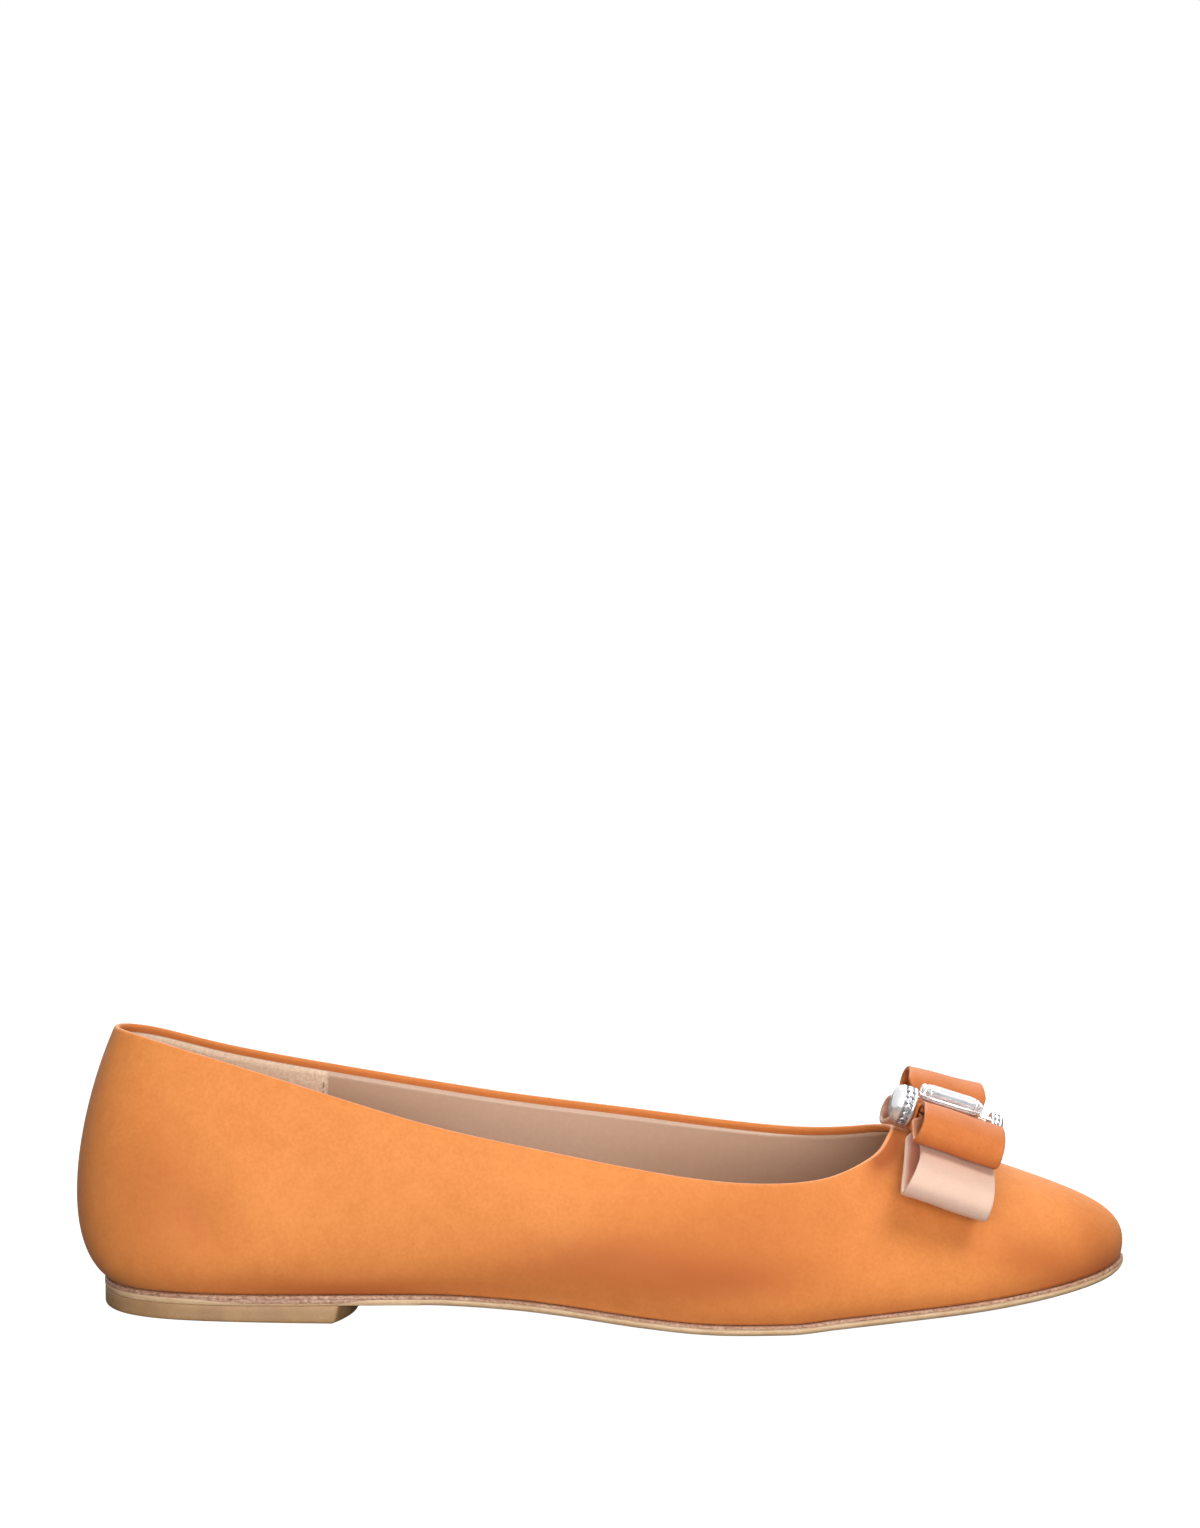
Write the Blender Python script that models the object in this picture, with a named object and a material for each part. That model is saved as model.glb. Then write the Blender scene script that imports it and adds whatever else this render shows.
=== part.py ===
# Ballet flat for a right foot, in metres: +X to the toe, +Y to the inner side of the foot, +Z up.
# Every piece is worked out from the named sizes below and from short tables of sections,
# whose lengths are shares of those sizes.

import math

import bpy
import numpy as np

for old in list(bpy.data.objects):
    bpy.data.objects.remove(old)

# Main sizes of the shoe
SOLE_LENGTH = 0.243
BALL_WIDTH = 0.077
BACK_HEIGHT = 0.0653
HEEL_SWELL = 0.0108

# Walls and gaps
UPPER_WALL = 0.002
OUTSOLE_THICKNESS = 0.0023
INSOLE_THICKNESS = 0.0022
RIBBON_THICKNESS = 0.0010
GAP = 0.0003
FEATHER_INSET = 0.0008

# How finely the curved pieces are cut
RIBS = 80
RIB_STEPS = 15


def columns(names, rows):
    return dict(zip(names.split(), np.array(rows, float).T))


# Plan of the outsole's edge, heel end to toe tip. along is a share of SOLE_LENGTH,
# lateral and medial are shares of BALL_WIDTH.
SOLE_PLAN = columns(
    "along lateral medial",
    (
        (-0.0035, 0.000, 0.000),
        (0.012, -0.192, 0.192),
        (0.049, -0.288, 0.283),
        (0.107, -0.332, 0.321),
        (0.189, -0.350, 0.331),
        (0.288, -0.358, 0.303),
        (0.395, -0.400, 0.281),
        (0.502, -0.468, 0.335),
        (0.605, -0.500, 0.455),
        (0.708, -0.455, 0.500),
        (0.807, -0.397, 0.452),
        (0.893, -0.334, 0.358),
        (0.951, -0.245, 0.250),
        (0.986, -0.130, 0.145),
        (1.000, 0.015, 0.015),
    ),
)

# The topline, a row for the same sections. The heights are shares of BACK_HEIGHT.
TOPLINE = columns(
    "along lateral medial lateral_height medial_height",
    (
        (0.002, 0.000, 0.000, 1.000, 1.000),
        (0.011, -0.090, 0.090, 0.998, 0.995),
        (0.043, -0.170, 0.170, 0.974, 0.968),
        (0.103, -0.240, 0.236, 0.919, 0.904),
        (0.198, -0.302, 0.286, 0.822, 0.830),
        (0.305, -0.340, 0.312, 0.711, 0.761),
        (0.403, -0.366, 0.328, 0.636, 0.704),
        (0.498, -0.390, 0.343, 0.573, 0.660),
        (0.588, -0.386, 0.357, 0.525, 0.619),
        (0.663, -0.345, 0.345, 0.516, 0.596),
        (0.708, -0.270, 0.290, 0.537, 0.604),
        (0.737, -0.196, 0.215, 0.575, 0.626),
        (0.755, -0.126, 0.140, 0.611, 0.648),
        (0.765, -0.055, 0.070, 0.649, 0.662),
        (0.770, 0.006, 0.006, 0.667, 0.667),
    ),
)

# Fullness of the last at the same sections. flare and swell are how far the wall stands out low
# and high, as shares of HEEL_SWELL. rise and drop are shares of the wall's height, and reach is
# the share of the way from the topline out to the sole's edge.
FULLNESS = columns(
    "flare rise reach swell drop",
    (
        (1.13, 0.13, 0.00, 0.80, 0.36),
        (1.12, 0.13, 0.00, 0.76, 0.36),
        (0.92, 0.15, 0.00, 0.66, 0.36),
        (0.62, 0.19, 0.00, 0.54, 0.36),
        (0.44, 0.24, 0.05, 0.42, 0.36),
        (0.36, 0.28, 0.05, 0.34, 0.36),
        (0.40, 0.30, 0.08, 0.30, 0.36),
        (0.42, 0.32, 0.15, 0.28, 0.36),
        (0.38, 0.34, 0.25, 0.22, 0.36),
        (0.38, 0.36, 0.38, 0.15, 0.39),
        (0.30, 0.38, 0.52, 0.08, 0.43),
        (0.26, 0.41, 0.64, 0.04, 0.47),
        (0.28, 0.43, 0.72, 0.01, 0.50),
        (0.30, 0.45, 0.77, 0.00, 0.51),
        (0.30, 0.45, 0.78, 0.00, 0.51),
    ),
)

# Underside of the outsole along its length. height is a share of HEEL_LIFT. The two rows of 0 at
# the ball are the flat spot that the forefoot rests on.
HEEL_LIFT = 0.0040
UNDERSIDE = columns(
    "along height",
    (
        (0.000, 0.97),
        (0.090, 0.98),
        (0.240, 1.10),
        (0.315, 1.18),
        (0.390, 1.04),
        (0.430, 0.86),
        (0.520, 0.28),
        (0.570, 0.05),
        (0.600, 0.00),
        (0.655, 0.00),
        (0.705, 0.26),
        (0.755, 0.52),
        (0.832, 0.96),
        (0.900, 1.52),
        (0.947, 2.00),
        (0.980, 2.42),
        (1.000, 2.80),
    ),
)


def monotone(table_x, table_y, at):
    """Cubic curve through a table that never swings past its rows, so a flat stays flat."""
    step = np.diff(table_x)
    slope = np.diff(table_y) / step
    turn = np.zeros(len(table_x))
    same = slope[1:] * slope[:-1] > 0
    turn[1:-1][same] = 2 / (1 / slope[1:][same] + 1 / slope[:-1][same])
    turn[0] = slope[0]
    turn[-1] = slope[-1]
    at = np.clip(at, table_x[0], table_x[-1])
    row = np.clip(np.searchsorted(table_x, at, side="right") - 1, 0, len(step) - 1)
    t = (at - table_x[row]) / step[row]
    rise = table_y[row + 1] - table_y[row]
    left = turn[row] * step[row]
    right = turn[row + 1] * step[row]
    return table_y[row] + t * left + t**2 * (3 * rise - 2 * left - right) + t**3 * (left + right - 2 * rise)


def around(knots, values, at):
    """Smooth closed curve through rows of values. knots has one more entry than values."""
    count = len(values)
    span = np.diff(knots)
    before = np.roll(span, 1)
    left = np.zeros((count, count))
    right = np.zeros_like(values)
    for row in range(count):
        last = (row - 1) % count
        following = (row + 1) % count
        left[row, last] += before[row]
        left[row, row] += 2 * (before[row] + span[row])
        left[row, following] += span[row]
        right[row] = 6 * (
            (values[following] - values[row]) / span[row] - (values[row] - values[last]) / before[row]
        )
    bend = np.linalg.solve(left, right)
    at = np.asarray(at) % knots[-1]
    row = np.clip(np.searchsorted(knots, at, side="right") - 1, 0, count - 1)
    following = (row + 1) % count
    width = span[row][:, None]
    past = (at - knots[row])[:, None]
    ahead = width - past
    return (
        (bend[row] * ahead**3 + bend[following] * past**3) / (6 * width)
        + (values[row] / width - bend[row] * width / 6) * ahead
        + (values[following] / width - bend[following] * width / 6) * past
    )


def both_sides(lateral, medial):
    """Rows round the shoe: heel end, lateral side to the toe tip, medial side back."""
    return np.concatenate([lateral, medial[-2:0:-1]])


def underside(x):
    return HEEL_LIFT * monotone(UNDERSIDE["along"], UNDERSIDE["height"], x / SOLE_LENGTH)


# Rows round the shoe from the tables, with x counted from the heel end of the sole
edge_rows = np.stack(
    [
        both_sides(SOLE_PLAN["along"], SOLE_PLAN["along"]) * SOLE_LENGTH,
        both_sides(SOLE_PLAN["lateral"], SOLE_PLAN["medial"]) * BALL_WIDTH,
    ],
    axis=1,
)
topline_rows = np.stack(
    [
        both_sides(TOPLINE["along"], TOPLINE["along"]) * SOLE_LENGTH,
        both_sides(TOPLINE["lateral"], TOPLINE["medial"]) * BALL_WIDTH,
        both_sides(TOPLINE["lateral_height"], TOPLINE["medial_height"]) * BACK_HEIGHT,
    ],
    axis=1,
)
fullness_rows = np.stack([both_sides(FULLNESS[name], FULLNESS[name]) for name in FULLNESS], axis=1)
edge_steps = np.linalg.norm(np.roll(edge_rows, -1, axis=0) - edge_rows, axis=1)
knots = np.concatenate([[0], np.cumsum(edge_steps**0.7)])
toe_knot = knots[len(SOLE_PLAN["along"]) - 1]


def stations(count):
    """count places round the shoe, half of them on each side, starting at the heel end."""
    half = count // 2
    lateral = np.linspace(0, toe_knot, half, endpoint=False)
    medial = np.linspace(toe_knot, knots[-1], count - half, endpoint=False)
    return np.concatenate([lateral, medial])


def edge_plan(at, inset):
    """The outsole's edge in plan, moved inwards by inset, and its outward direction."""
    near = 1e-4 * knots[-1]
    points = around(knots, edge_rows, at)
    along = around(knots, edge_rows, at + near) - around(knots, edge_rows, at - near)
    along /= np.linalg.norm(along, axis=1)[:, None]
    outward = np.stack([along[:, 1], -along[:, 0]], axis=1)
    return points - outward * inset, outward


def upper_skin(at, steps):
    """The outer skin of the upper: a rib from the sole's edge up to the topline at each place."""
    foot_plan, outward = edge_plan(at, FEATHER_INSET)
    top = around(knots, topline_rows, at)
    flare, rise, reach, swell, drop = around(knots, fullness_rows, at).T
    foot_z = underside(foot_plan[:, 0]) + OUTSOLE_THICKNESS + GAP
    height = top[:, 2] - foot_z
    foot = np.column_stack([foot_plan, foot_z])
    low = np.column_stack([foot_plan + outward * (flare * HEEL_SWELL)[:, None], foot_z + rise * height])
    towards = (foot_plan - top[:, :2]) * reach[:, None] + outward * (swell * HEEL_SWELL)[:, None]
    high = np.column_stack([top[:, :2] + towards, top[:, 2] - drop * height])
    t = np.linspace(0, 1, steps)[None, :, None]
    foot, low, high, top = (point[:, None, :] for point in (foot, low, high, top))
    return foot * (1 - t) ** 3 + 3 * low * t * (1 - t) ** 2 + 3 * high * t**2 * (1 - t) + top * t**3


def skin_normals(skin):
    """Outward directions of a skin that is closed round its first axis."""
    round_it = np.roll(skin, -1, axis=0) - np.roll(skin, 1, axis=0)
    up_it = np.gradient(skin, axis=1)
    normals = np.cross(round_it, up_it)
    return normals / np.linalg.norm(normals, axis=2)[:, :, None]


def unit(vectors):
    return vectors / np.linalg.norm(vectors, axis=-1, keepdims=True)


def rings_to_mesh(rings):
    """Closed tube of rings, each ring closed round and the last ring joined to the first."""
    count, size = rings.shape[:2]
    faces = []
    for ring in range(count):
        following = (ring + 1) % count
        for i in range(size):
            j = (i + 1) % size
            faces.append((ring * size + i, ring * size + j, following * size + j, following * size + i))
    return rings.reshape(-1, 3), faces


def slab(layers, across):
    """Plate from a stack of closed outlines, bottom first, with both ends closed across the shoe."""
    count = len(layers[0])
    half = count // 2
    points = list(np.concatenate(layers))
    faces = []
    for layer in range(len(layers) - 1):
        for i in range(count):
            j = (i + 1) % count
            below = layer * count
            above = below + count
            faces.append((below + i, below + j, above + j, above + i))
    for layer, turned in ((0, False), (len(layers) - 1, True)):
        base = layer * count
        grid = []
        for i in range(1, half):
            left = layers[layer][i]
            right = layers[layer][count - i]
            row = [base + i]
            for k in range(1, across):
                row.append(len(points))
                points.append(left + (right - left) * k / across)
            row.append(base + count - i)
            grid.append(row)
        cap = []
        for row, following in zip(grid, grid[1:]):
            for k in range(across):
                cap.append((row[k], row[k + 1], following[k + 1], following[k]))
        for k in range(across):
            cap.append((base, grid[0][k + 1], grid[0][k]))
            cap.append((base + half, grid[-1][k], grid[-1][k + 1]))
        faces += [face[::-1] if turned else face for face in cap]
    return np.array(points), faces


pieces = {}

# Upper: outer skin, rounded topline, inner skin one wall in, flat feather edge below
places = stations(RIBS)
outer = upper_skin(places, RIB_STEPS)
normals = skin_normals(outer)
normals[:, 0, 2] = 0
normals = unit(normals)
inner = outer - normals * UPPER_WALL
rim_up = unit(outer[:, -1] - outer[:, -2])
rim_middle = (outer[:, -1] + inner[:, -1]) / 2
turned_edge = [
    rim_middle + (normals[:, -1] * math.cos(angle) + rim_up * math.sin(angle)) * UPPER_WALL / 2
    for angle in (math.pi / 4, math.pi / 2, 3 * math.pi / 4)
]
upper_rings = [outer[:, step] for step in range(RIB_STEPS)] + turned_edge
upper_rings += [inner[:, step] for step in reversed(range(RIB_STEPS))]
pieces["upper"] = rings_to_mesh(np.array(upper_rings))


def plate_ring(at, inset, lift):
    """Outline of a plate at this inset, lying lift above the outsole's underside."""
    plan, _ = edge_plan(at, inset)
    return np.column_stack([plan, underside(plan[:, 0]) + lift])


# Outsole: one leather plate with its lower edge taken off
BEVEL = 0.0007
pieces["outsole"] = slab(
    [
        plate_ring(places, BEVEL, 0),
        plate_ring(places, 0, BEVEL),
        plate_ring(places, 0, OUTSOLE_THICKNESS - BEVEL / 2),
        plate_ring(places, BEVEL / 2, OUTSOLE_THICKNESS),
    ],
    4,
)

# Insole: board and sock, inside the upper's wall
insole_inset = FEATHER_INSET + UPPER_WALL + GAP
insole_base = OUTSOLE_THICKNESS + GAP
pieces["insole"] = slab(
    [
        plate_ring(places, insole_inset, insole_base),
        plate_ring(places, insole_inset, insole_base + INSOLE_THICKNESS * 0.7),
        plate_ring(places, insole_inset + INSOLE_THICKNESS * 0.3, insole_base + INSOLE_THICKNESS),
    ],
    4,
)

# Heel block: lift under the heel seat, drawn in towards the floor, with a nearly upright breast
# that bows forward in the middle. The breast's places are counted from the heel end of the sole.
BREAST_TOP = 0.0539
BREAST_BOTTOM = 0.0530
BREAST_BOW = 0.0066
BLOCK_INSET_TOP = 0.0002
BLOCK_INSET_BOTTOM = 0.0003


def block_ring(inset, breast, lift_share):
    """Outline of the heel block at one height, lateral breast corner round the heel to the medial."""
    fine = np.linspace(0, toe_knot / 2, 400)
    ends = []
    for side in (fine, knots[-1] - fine):
        plan, _ = edge_plan(side, inset)
        ends.append(np.interp(breast, plan[:, 0], side))
    medial_end = ends[1] - knots[-1]
    at = np.linspace(ends[0], medial_end, 29)
    plan, _ = edge_plan(at, inset)
    cross = np.linspace(plan[-1], plan[0], 9)[1:-1]
    share = np.linspace(-1, 1, 9)[1:-1]
    cross[:, 0] += BREAST_BOW * (1 - share**2)
    plan = np.concatenate([plan, cross])
    top = underside(plan[:, 0]) - GAP
    return np.column_stack([plan, top * lift_share])


block_layers = [
    block_ring(BLOCK_INSET_BOTTOM, BREAST_BOTTOM, 0.0),
    block_ring((BLOCK_INSET_TOP + BLOCK_INSET_BOTTOM) / 2, (BREAST_TOP + BREAST_BOTTOM) / 2, 0.5),
    block_ring(BLOCK_INSET_TOP, BREAST_TOP, 1.0),
]


def capped_prism(layers):
    """Plate whose outlines start and end on the breast, closed by strips across it."""
    count = len(layers[0])
    points = list(np.concatenate(layers))
    faces = []
    for layer in range(len(layers) - 1):
        for i in range(count):
            j = (i + 1) % count
            below = layer * count
            above = below + count
            faces.append((below + i, above + i, above + j, below + j))
    for layer, turned in ((0, False), (len(layers) - 1, True)):
        base = layer * count
        middle = 14
        left = [base + middle - k for k in range(1, 15)] + [base + count - k for k in range(1, 4)]
        right = [base + middle + k for k in range(1, 15)] + [base + 28 + k for k in range(1, 4)]
        cap = [(base + middle, left[0], right[0])]
        for k in range(len(left) - 1):
            cap.append((left[k], left[k + 1], right[k + 1], right[k]))
        cap.append((left[-1], base + 32, right[-1]))
        faces += [face if turned else face[::-1] for face in cap]
    return np.array(points), faces


pieces["heel_block"] = capped_prism(block_layers)

# The bow stands on the vamp: its own frame has x down the vamp to the toe, y across, z out
BOW_ALONG = 0.811
BOW_TURN = math.radians(1.0)
BOW_PITCH = math.radians(1.8)
BOW_WIDTH = 0.0211
BOW_GATHER = 0.0160
BOW_GATHER_SHIFT = 0.0014
BOW_LOOP_SHIFT = 0.0011
BOW_SPAN = 0.050
BOW_DEPTH = 0.0130
RIBBON_GAP = 0.00045
KNOT_WALL = 0.0008
KNOT_HALF_WIDTH = 0.0034

ply_step = RIBBON_THICKNESS + RIBBON_GAP
lowest_ply = KNOT_WALL + GAP + RIBBON_THICKNESS / 2
knot_low = (BOW_GATHER_SHIFT - BOW_GATHER / 2 - GAP, KNOT_WALL)
knot_high = (BOW_GATHER_SHIFT + BOW_GATHER / 2 + GAP, lowest_ply + 3 * ply_step + RIBBON_THICKNESS / 2 + GAP)


def seat_on_vamp():
    """Where the knot's underside rests on the middle of the vamp, and the bow's slope there."""
    ridge = upper_skin(np.array([toe_knot]), 200)[0]
    ridge = ridge[np.argsort(ridge[:, 0])]
    ends = BOW_ALONG * SOLE_LENGTH + np.array([knot_low[0] - KNOT_WALL, knot_high[0] + KNOT_WALL])
    heights = np.interp(ends, ridge[:, 0], ridge[:, 2])
    slope = math.atan2(heights[0] - heights[1], ends[1] - ends[0])
    between = ridge[(ridge[:, 0] > ends[0]) & (ridge[:, 0] < ends[1])]
    chord = np.interp(between[:, 0], ends, heights)
    crown = (between[:, 2] - chord).max() * math.cos(slope)
    middle = BOW_ALONG * SOLE_LENGTH
    heel_drop = (ends[1] - ends[0]) / 2 * math.sin(BOW_PITCH)
    lifted = (crown + GAP + heel_drop) / math.cos(slope)
    return np.array([middle, 0.0, np.interp(middle, ends, heights) + lifted]), slope - BOW_PITCH


bow_origin, bow_slope = seat_on_vamp()


def on_vamp(points):
    """From the bow's own frame to the shoe's."""
    x, y, z = np.asarray(points, float).T
    turned_x = x * math.cos(BOW_TURN) - y * math.sin(BOW_TURN)
    turned_y = x * math.sin(BOW_TURN) + y * math.cos(BOW_TURN)
    forward = turned_x * math.cos(bow_slope) + z * math.sin(bow_slope)
    up = z * math.cos(bow_slope) - turned_x * math.sin(bow_slope)
    return np.column_stack([forward, turned_y, up]) + bow_origin


# Run of each ribbon seen from the heel: out along the top, round the loop and back beneath.
# across is a share of BOW_SPAN, ply counts the layers in the gathered middle from the vamp up,
# and up is how far the run has left that layer, as a share of BOW_DEPTH. heel_in and toe_in are
# how far the band's two edges are drawn in, as shares of BOW_WIDTH, and twist is how much higher
# its toe-side edge stands than the other, as a share of BOW_DEPTH.
SATIN_RUN = columns(
    "across ply up heel_in toe_in twist",
    (
        (0.000, 3, 0.000, 0.000, 0.000, 0.00),
        (0.120, 3, 0.040, 0.000, 0.000, 0.00),
        (0.240, 3, 0.360, 0.020, 0.040, 0.05),
        (0.380, 3, 0.510, 0.045, 0.075, 0.09),
        (0.470, 3, 0.430, 0.045, 0.075, 0.09),
        (0.495, 2.5, 0.313, 0.045, 0.075, 0.09),
        (0.450, 2, 0.190, 0.045, 0.075, 0.09),
        (0.320, 2, 0.080, 0.030, 0.050, 0.05),
        (0.140, 2, 0.004, 0.000, 0.000, 0.00),
        (0.000, 2, 0.000, 0.000, 0.000, 0.00),
        (-0.140, 2, -0.006, 0.000, 0.000, 0.00),
        (-0.300, 2, -0.130, 0.000, 0.000, -0.02),
        (-0.440, 2, -0.290, 0.000, 0.000, -0.04),
        (-0.510, 2, -0.190, 0.000, 0.000, -0.04),
        (-0.510, 2.5, -0.010, 0.020, 0.000, -0.04),
        (-0.420, 3, 0.165, 0.030, 0.000, -0.04),
        (-0.260, 3, 0.210, 0.040, 0.000, -0.02),
        (-0.120, 3, 0.036, 0.000, 0.000, 0.00),
    ),
)
PINK_RUN = columns(
    "across ply up heel_in toe_in twist",
    (
        (0.000, 1, 0.000, 0.000, 0.000, 0.00),
        (0.160, 1, 0.000, 0.000, 0.000, 0.00),
        (0.340, 1, 0.025, 0.000, 0.000, 0.00),
        (0.500, 1, 0.030, 0.000, 0.000, 0.00),
        (0.610, 1, -0.110, 0.000, 0.000, 0.00),
        (0.640, 0.5, -0.270, 0.000, 0.000, 0.00),
        (0.580, 0, -0.370, 0.000, 0.000, 0.00),
        (0.440, 0, -0.270, 0.000, 0.000, 0.00),
        (0.260, 0, -0.088, 0.000, 0.000, 0.00),
        (0.120, 0, -0.006, 0.000, 0.000, 0.00),
        (0.000, 0, 0.000, 0.000, 0.000, 0.00),
        (-0.120, 0, -0.008, 0.000, 0.000, 0.00),
        (-0.260, 0, -0.208, 0.000, 0.000, -0.02),
        (-0.440, 0, -0.618, 0.000, 0.000, -0.04),
        (-0.570, 0, -0.945, 0.000, 0.000, -0.04),
        (-0.645, 0, -0.925, 0.000, 0.000, -0.04),
        (-0.670, 0.5, -0.764, 0.020, 0.000, -0.04),
        (-0.610, 1, -0.530, 0.070, 0.000, -0.04),
        (-0.460, 1, -0.310, 0.110, 0.000, -0.04),
        (-0.320, 1, -0.155, 0.090, 0.000, -0.02),
        (-0.160, 1, -0.030, 0.020, 0.000, 0.00),
    ),
)


def ribbon(run, steps, sides):
    """Closed band of ribbon that follows its run, narrow where it is gathered and wide in the loops."""
    heights = lowest_ply + run["ply"] * ply_step + run["up"] * BOW_DEPTH
    edges = [run["heel_in"] * BOW_WIDTH, run["toe_in"] * BOW_WIDTH, run["twist"] * BOW_DEPTH]
    rows = np.stack([run["across"] * BOW_SPAN, heights, *edges], axis=1)
    lengths = np.linalg.norm((np.roll(rows, -1, axis=0) - rows)[:, :2], axis=1)
    run_knots = np.concatenate([[0], np.cumsum(lengths**0.6)])
    at = np.linspace(0, run_knots[-1], steps, endpoint=False)
    path = around(run_knots, rows, at)
    ahead = unit((around(run_knots, rows, at + 1e-5) - around(run_knots, rows, at - 1e-5))[:, :2])
    out = np.stack([-ahead[:, 1], ahead[:, 0]], axis=1)
    spread = np.clip((np.abs(path[:, 0]) / BOW_SPAN - 0.12) / 0.14, 0, 1)
    spread = spread * spread * (3 - 2 * spread)
    half = (BOW_GATHER + (BOW_WIDTH - BOW_GATHER) * spread) / 2
    middle = BOW_GATHER_SHIFT + (BOW_LOOP_SHIFT - BOW_GATHER_SHIFT) * spread
    heel_edge = middle - half + np.clip(path[:, 2], 0, None)
    toe_edge = middle + half - np.clip(path[:, 3], 0, None)
    rings = []
    for i in range(steps):
        ring = []
        for side in (1, -1):
            for k in range(sides + 1):
                share = k / sides if side > 0 else 1 - k / sides
                edge = path[i, :2] + out[i] * side * RIBBON_THICKNESS / 2
                x = heel_edge[i] + (toe_edge[i] - heel_edge[i]) * share
                ring.append((x, edge[0], edge[1] + path[i, 4] * (share - 0.5)))
        rings.append(on_vamp(ring))
    return rings_to_mesh(np.array(rings))


pieces["bow_satin"] = ribbon(SATIN_RUN, 48, 3)
pieces["bow_pink"] = ribbon(PINK_RUN, 52, 3)


def wrap(low, high, wall, half_width, corner):
    """Band wrapped round the gathered ribbons: a rounded frame in x and z, pushed out across them."""
    (x0, z0), (x1, z1) = low, high
    loops = []
    for grow in (0.0, wall):
        loop = []
        radius = corner + grow
        for cx, cz, start in (
            (x1 - corner, z0 + corner, -90),
            (x1 - corner, z1 - corner, 0),
            (x0 + corner, z1 - corner, 90),
            (x0 + corner, z0 + corner, 180),
        ):
            for turn in (0, 30, 60, 90):
                angle = math.radians(start + turn)
                loop.append((cx + radius * math.cos(angle), cz + radius * math.sin(angle)))
        loops.append(loop)
    rings = []
    for y, loop in ((-half_width, 0), (-half_width, 1), (half_width, 1), (half_width, 0)):
        rings.append(on_vamp([(x, y, z) for x, z in loops[loop]]))
    points, faces = rings_to_mesh(np.array(rings))
    return points, [face[::-1] for face in faces]


# Knot: the wrap clears the gathered ribbons by a gap on every side
pieces["bow_knot"] = wrap(knot_low, knot_high, KNOT_WALL, KNOT_HALF_WIDTH, GAP)


def turned(profile, centre_z, sides):
    """Solid turned about a line along x in the bow's own frame. profile is (x, radius) from the heel."""
    turns = [2 * math.pi * k / sides for k in range(sides)]
    rings = [
        [(x, radius * math.cos(turn), centre_z + radius * math.sin(turn)) for turn in turns]
        for x, radius in profile
    ]
    points = [point for ring in rings for point in ring]
    faces = []
    for ring in range(len(rings) - 1):
        for i in range(sides):
            j = (i + 1) % sides
            faces.append((ring * sides + i, ring * sides + j, (ring + 1) * sides + j, (ring + 1) * sides + i))
    first = len(points)
    points += [(profile[0][0], 0, centre_z), (profile[-1][0], 0, centre_z)]
    last = (len(rings) - 1) * sides
    for i in range(sides):
        j = (i + 1) % sides
        faces.append((first, j, i))
        faces.append((first + 1, last + i, last + j))
    return on_vamp(points), faces


# Brooch caps: short drums that carry the small stones, the heel one closed by a polished dome.
# CAP_FOOT is how far they stand off the vamp.
CAP_RADIUS = 0.0047
CAP_FOOT = 0.0008
DOME_DEPTH = 0.0018
HEEL_DRUM = 0.0036
TOE_DRUM = 0.0024
cap_centre = CAP_RADIUS + CAP_FOOT
heel_face = knot_low[0] - KNOT_WALL - GAP
toe_face = knot_high[0] + KNOT_WALL + GAP
dome = [
    (heel_face - HEEL_DRUM - DOME_DEPTH * math.sin(angle), CAP_RADIUS * math.cos(angle) ** 0.8)
    for angle in np.radians((80, 62, 42, 22, 0))
]
pieces["brooch_cap_heel"] = turned(dome + [(heel_face, CAP_RADIUS)], cap_centre, 24)
pieces["brooch_cap_toe"] = turned(
    [
        (toe_face, CAP_RADIUS),
        (toe_face + TOE_DRUM, CAP_RADIUS),
        (toe_face + TOE_DRUM + 0.0006, CAP_RADIUS * 0.8),
    ],
    cap_centre,
    24,
)

# Setting and stone: an eight-sided tray above the knot with the long stone standing in it
STONE_LENGTH = 0.0150
STONE_WIDTH = 0.0080
STONE_CORNER = 0.0022
STONE_HEIGHT = 0.0030
STONE_MIDDLE = 0.0004
TRAY_BASE = knot_high[1] + KNOT_WALL + GAP
TRAY_HEIGHT = 0.0008


def eight_sided(length, width, corner, z):
    half_l, half_w = length / 2, width / 2
    return [
        (STONE_MIDDLE + x, y, z)
        for x, y in (
            (half_l, -half_w + corner),
            (half_l, half_w - corner),
            (half_l - corner, half_w),
            (-half_l + corner, half_w),
            (-half_l, half_w - corner),
            (-half_l, -half_w + corner),
            (-half_l + corner, -half_w),
            (half_l - corner, -half_w),
        )
    ]


def stacked(layers):
    """Solid from a stack of outlines with the same corners, bottom first."""
    size = len(layers[0])
    points = [point for layer in layers for point in layer]
    faces = []
    for layer in range(len(layers) - 1):
        for i in range(size):
            j = (i + 1) % size
            faces.append((layer * size + i, layer * size + j, (layer + 1) * size + j, (layer + 1) * size + i))
    faces.append(tuple(reversed(range(size))))
    faces.append(tuple((len(layers) - 1) * size + i for i in range(size)))
    return on_vamp(points), faces


def shrunk(grow, z):
    return eight_sided(STONE_LENGTH + 2 * grow, STONE_WIDTH + 2 * grow, STONE_CORNER + 0.6 * grow, z)


pieces["brooch_setting"] = stacked([shrunk(-0.0012, TRAY_BASE), shrunk(0.0, TRAY_BASE + TRAY_HEIGHT)])
stone_base = TRAY_BASE + TRAY_HEIGHT + GAP
pieces["brooch_stone"] = stacked(
    [
        shrunk(-0.0012, stone_base),
        shrunk(0.0, stone_base + STONE_HEIGHT * 0.45),
        shrunk(0.0, stone_base + STONE_HEIGHT * 0.55),
        shrunk(-0.0007, stone_base + STONE_HEIGHT * 0.80),
        shrunk(-0.0016, stone_base + STONE_HEIGHT),
    ]
)

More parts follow.
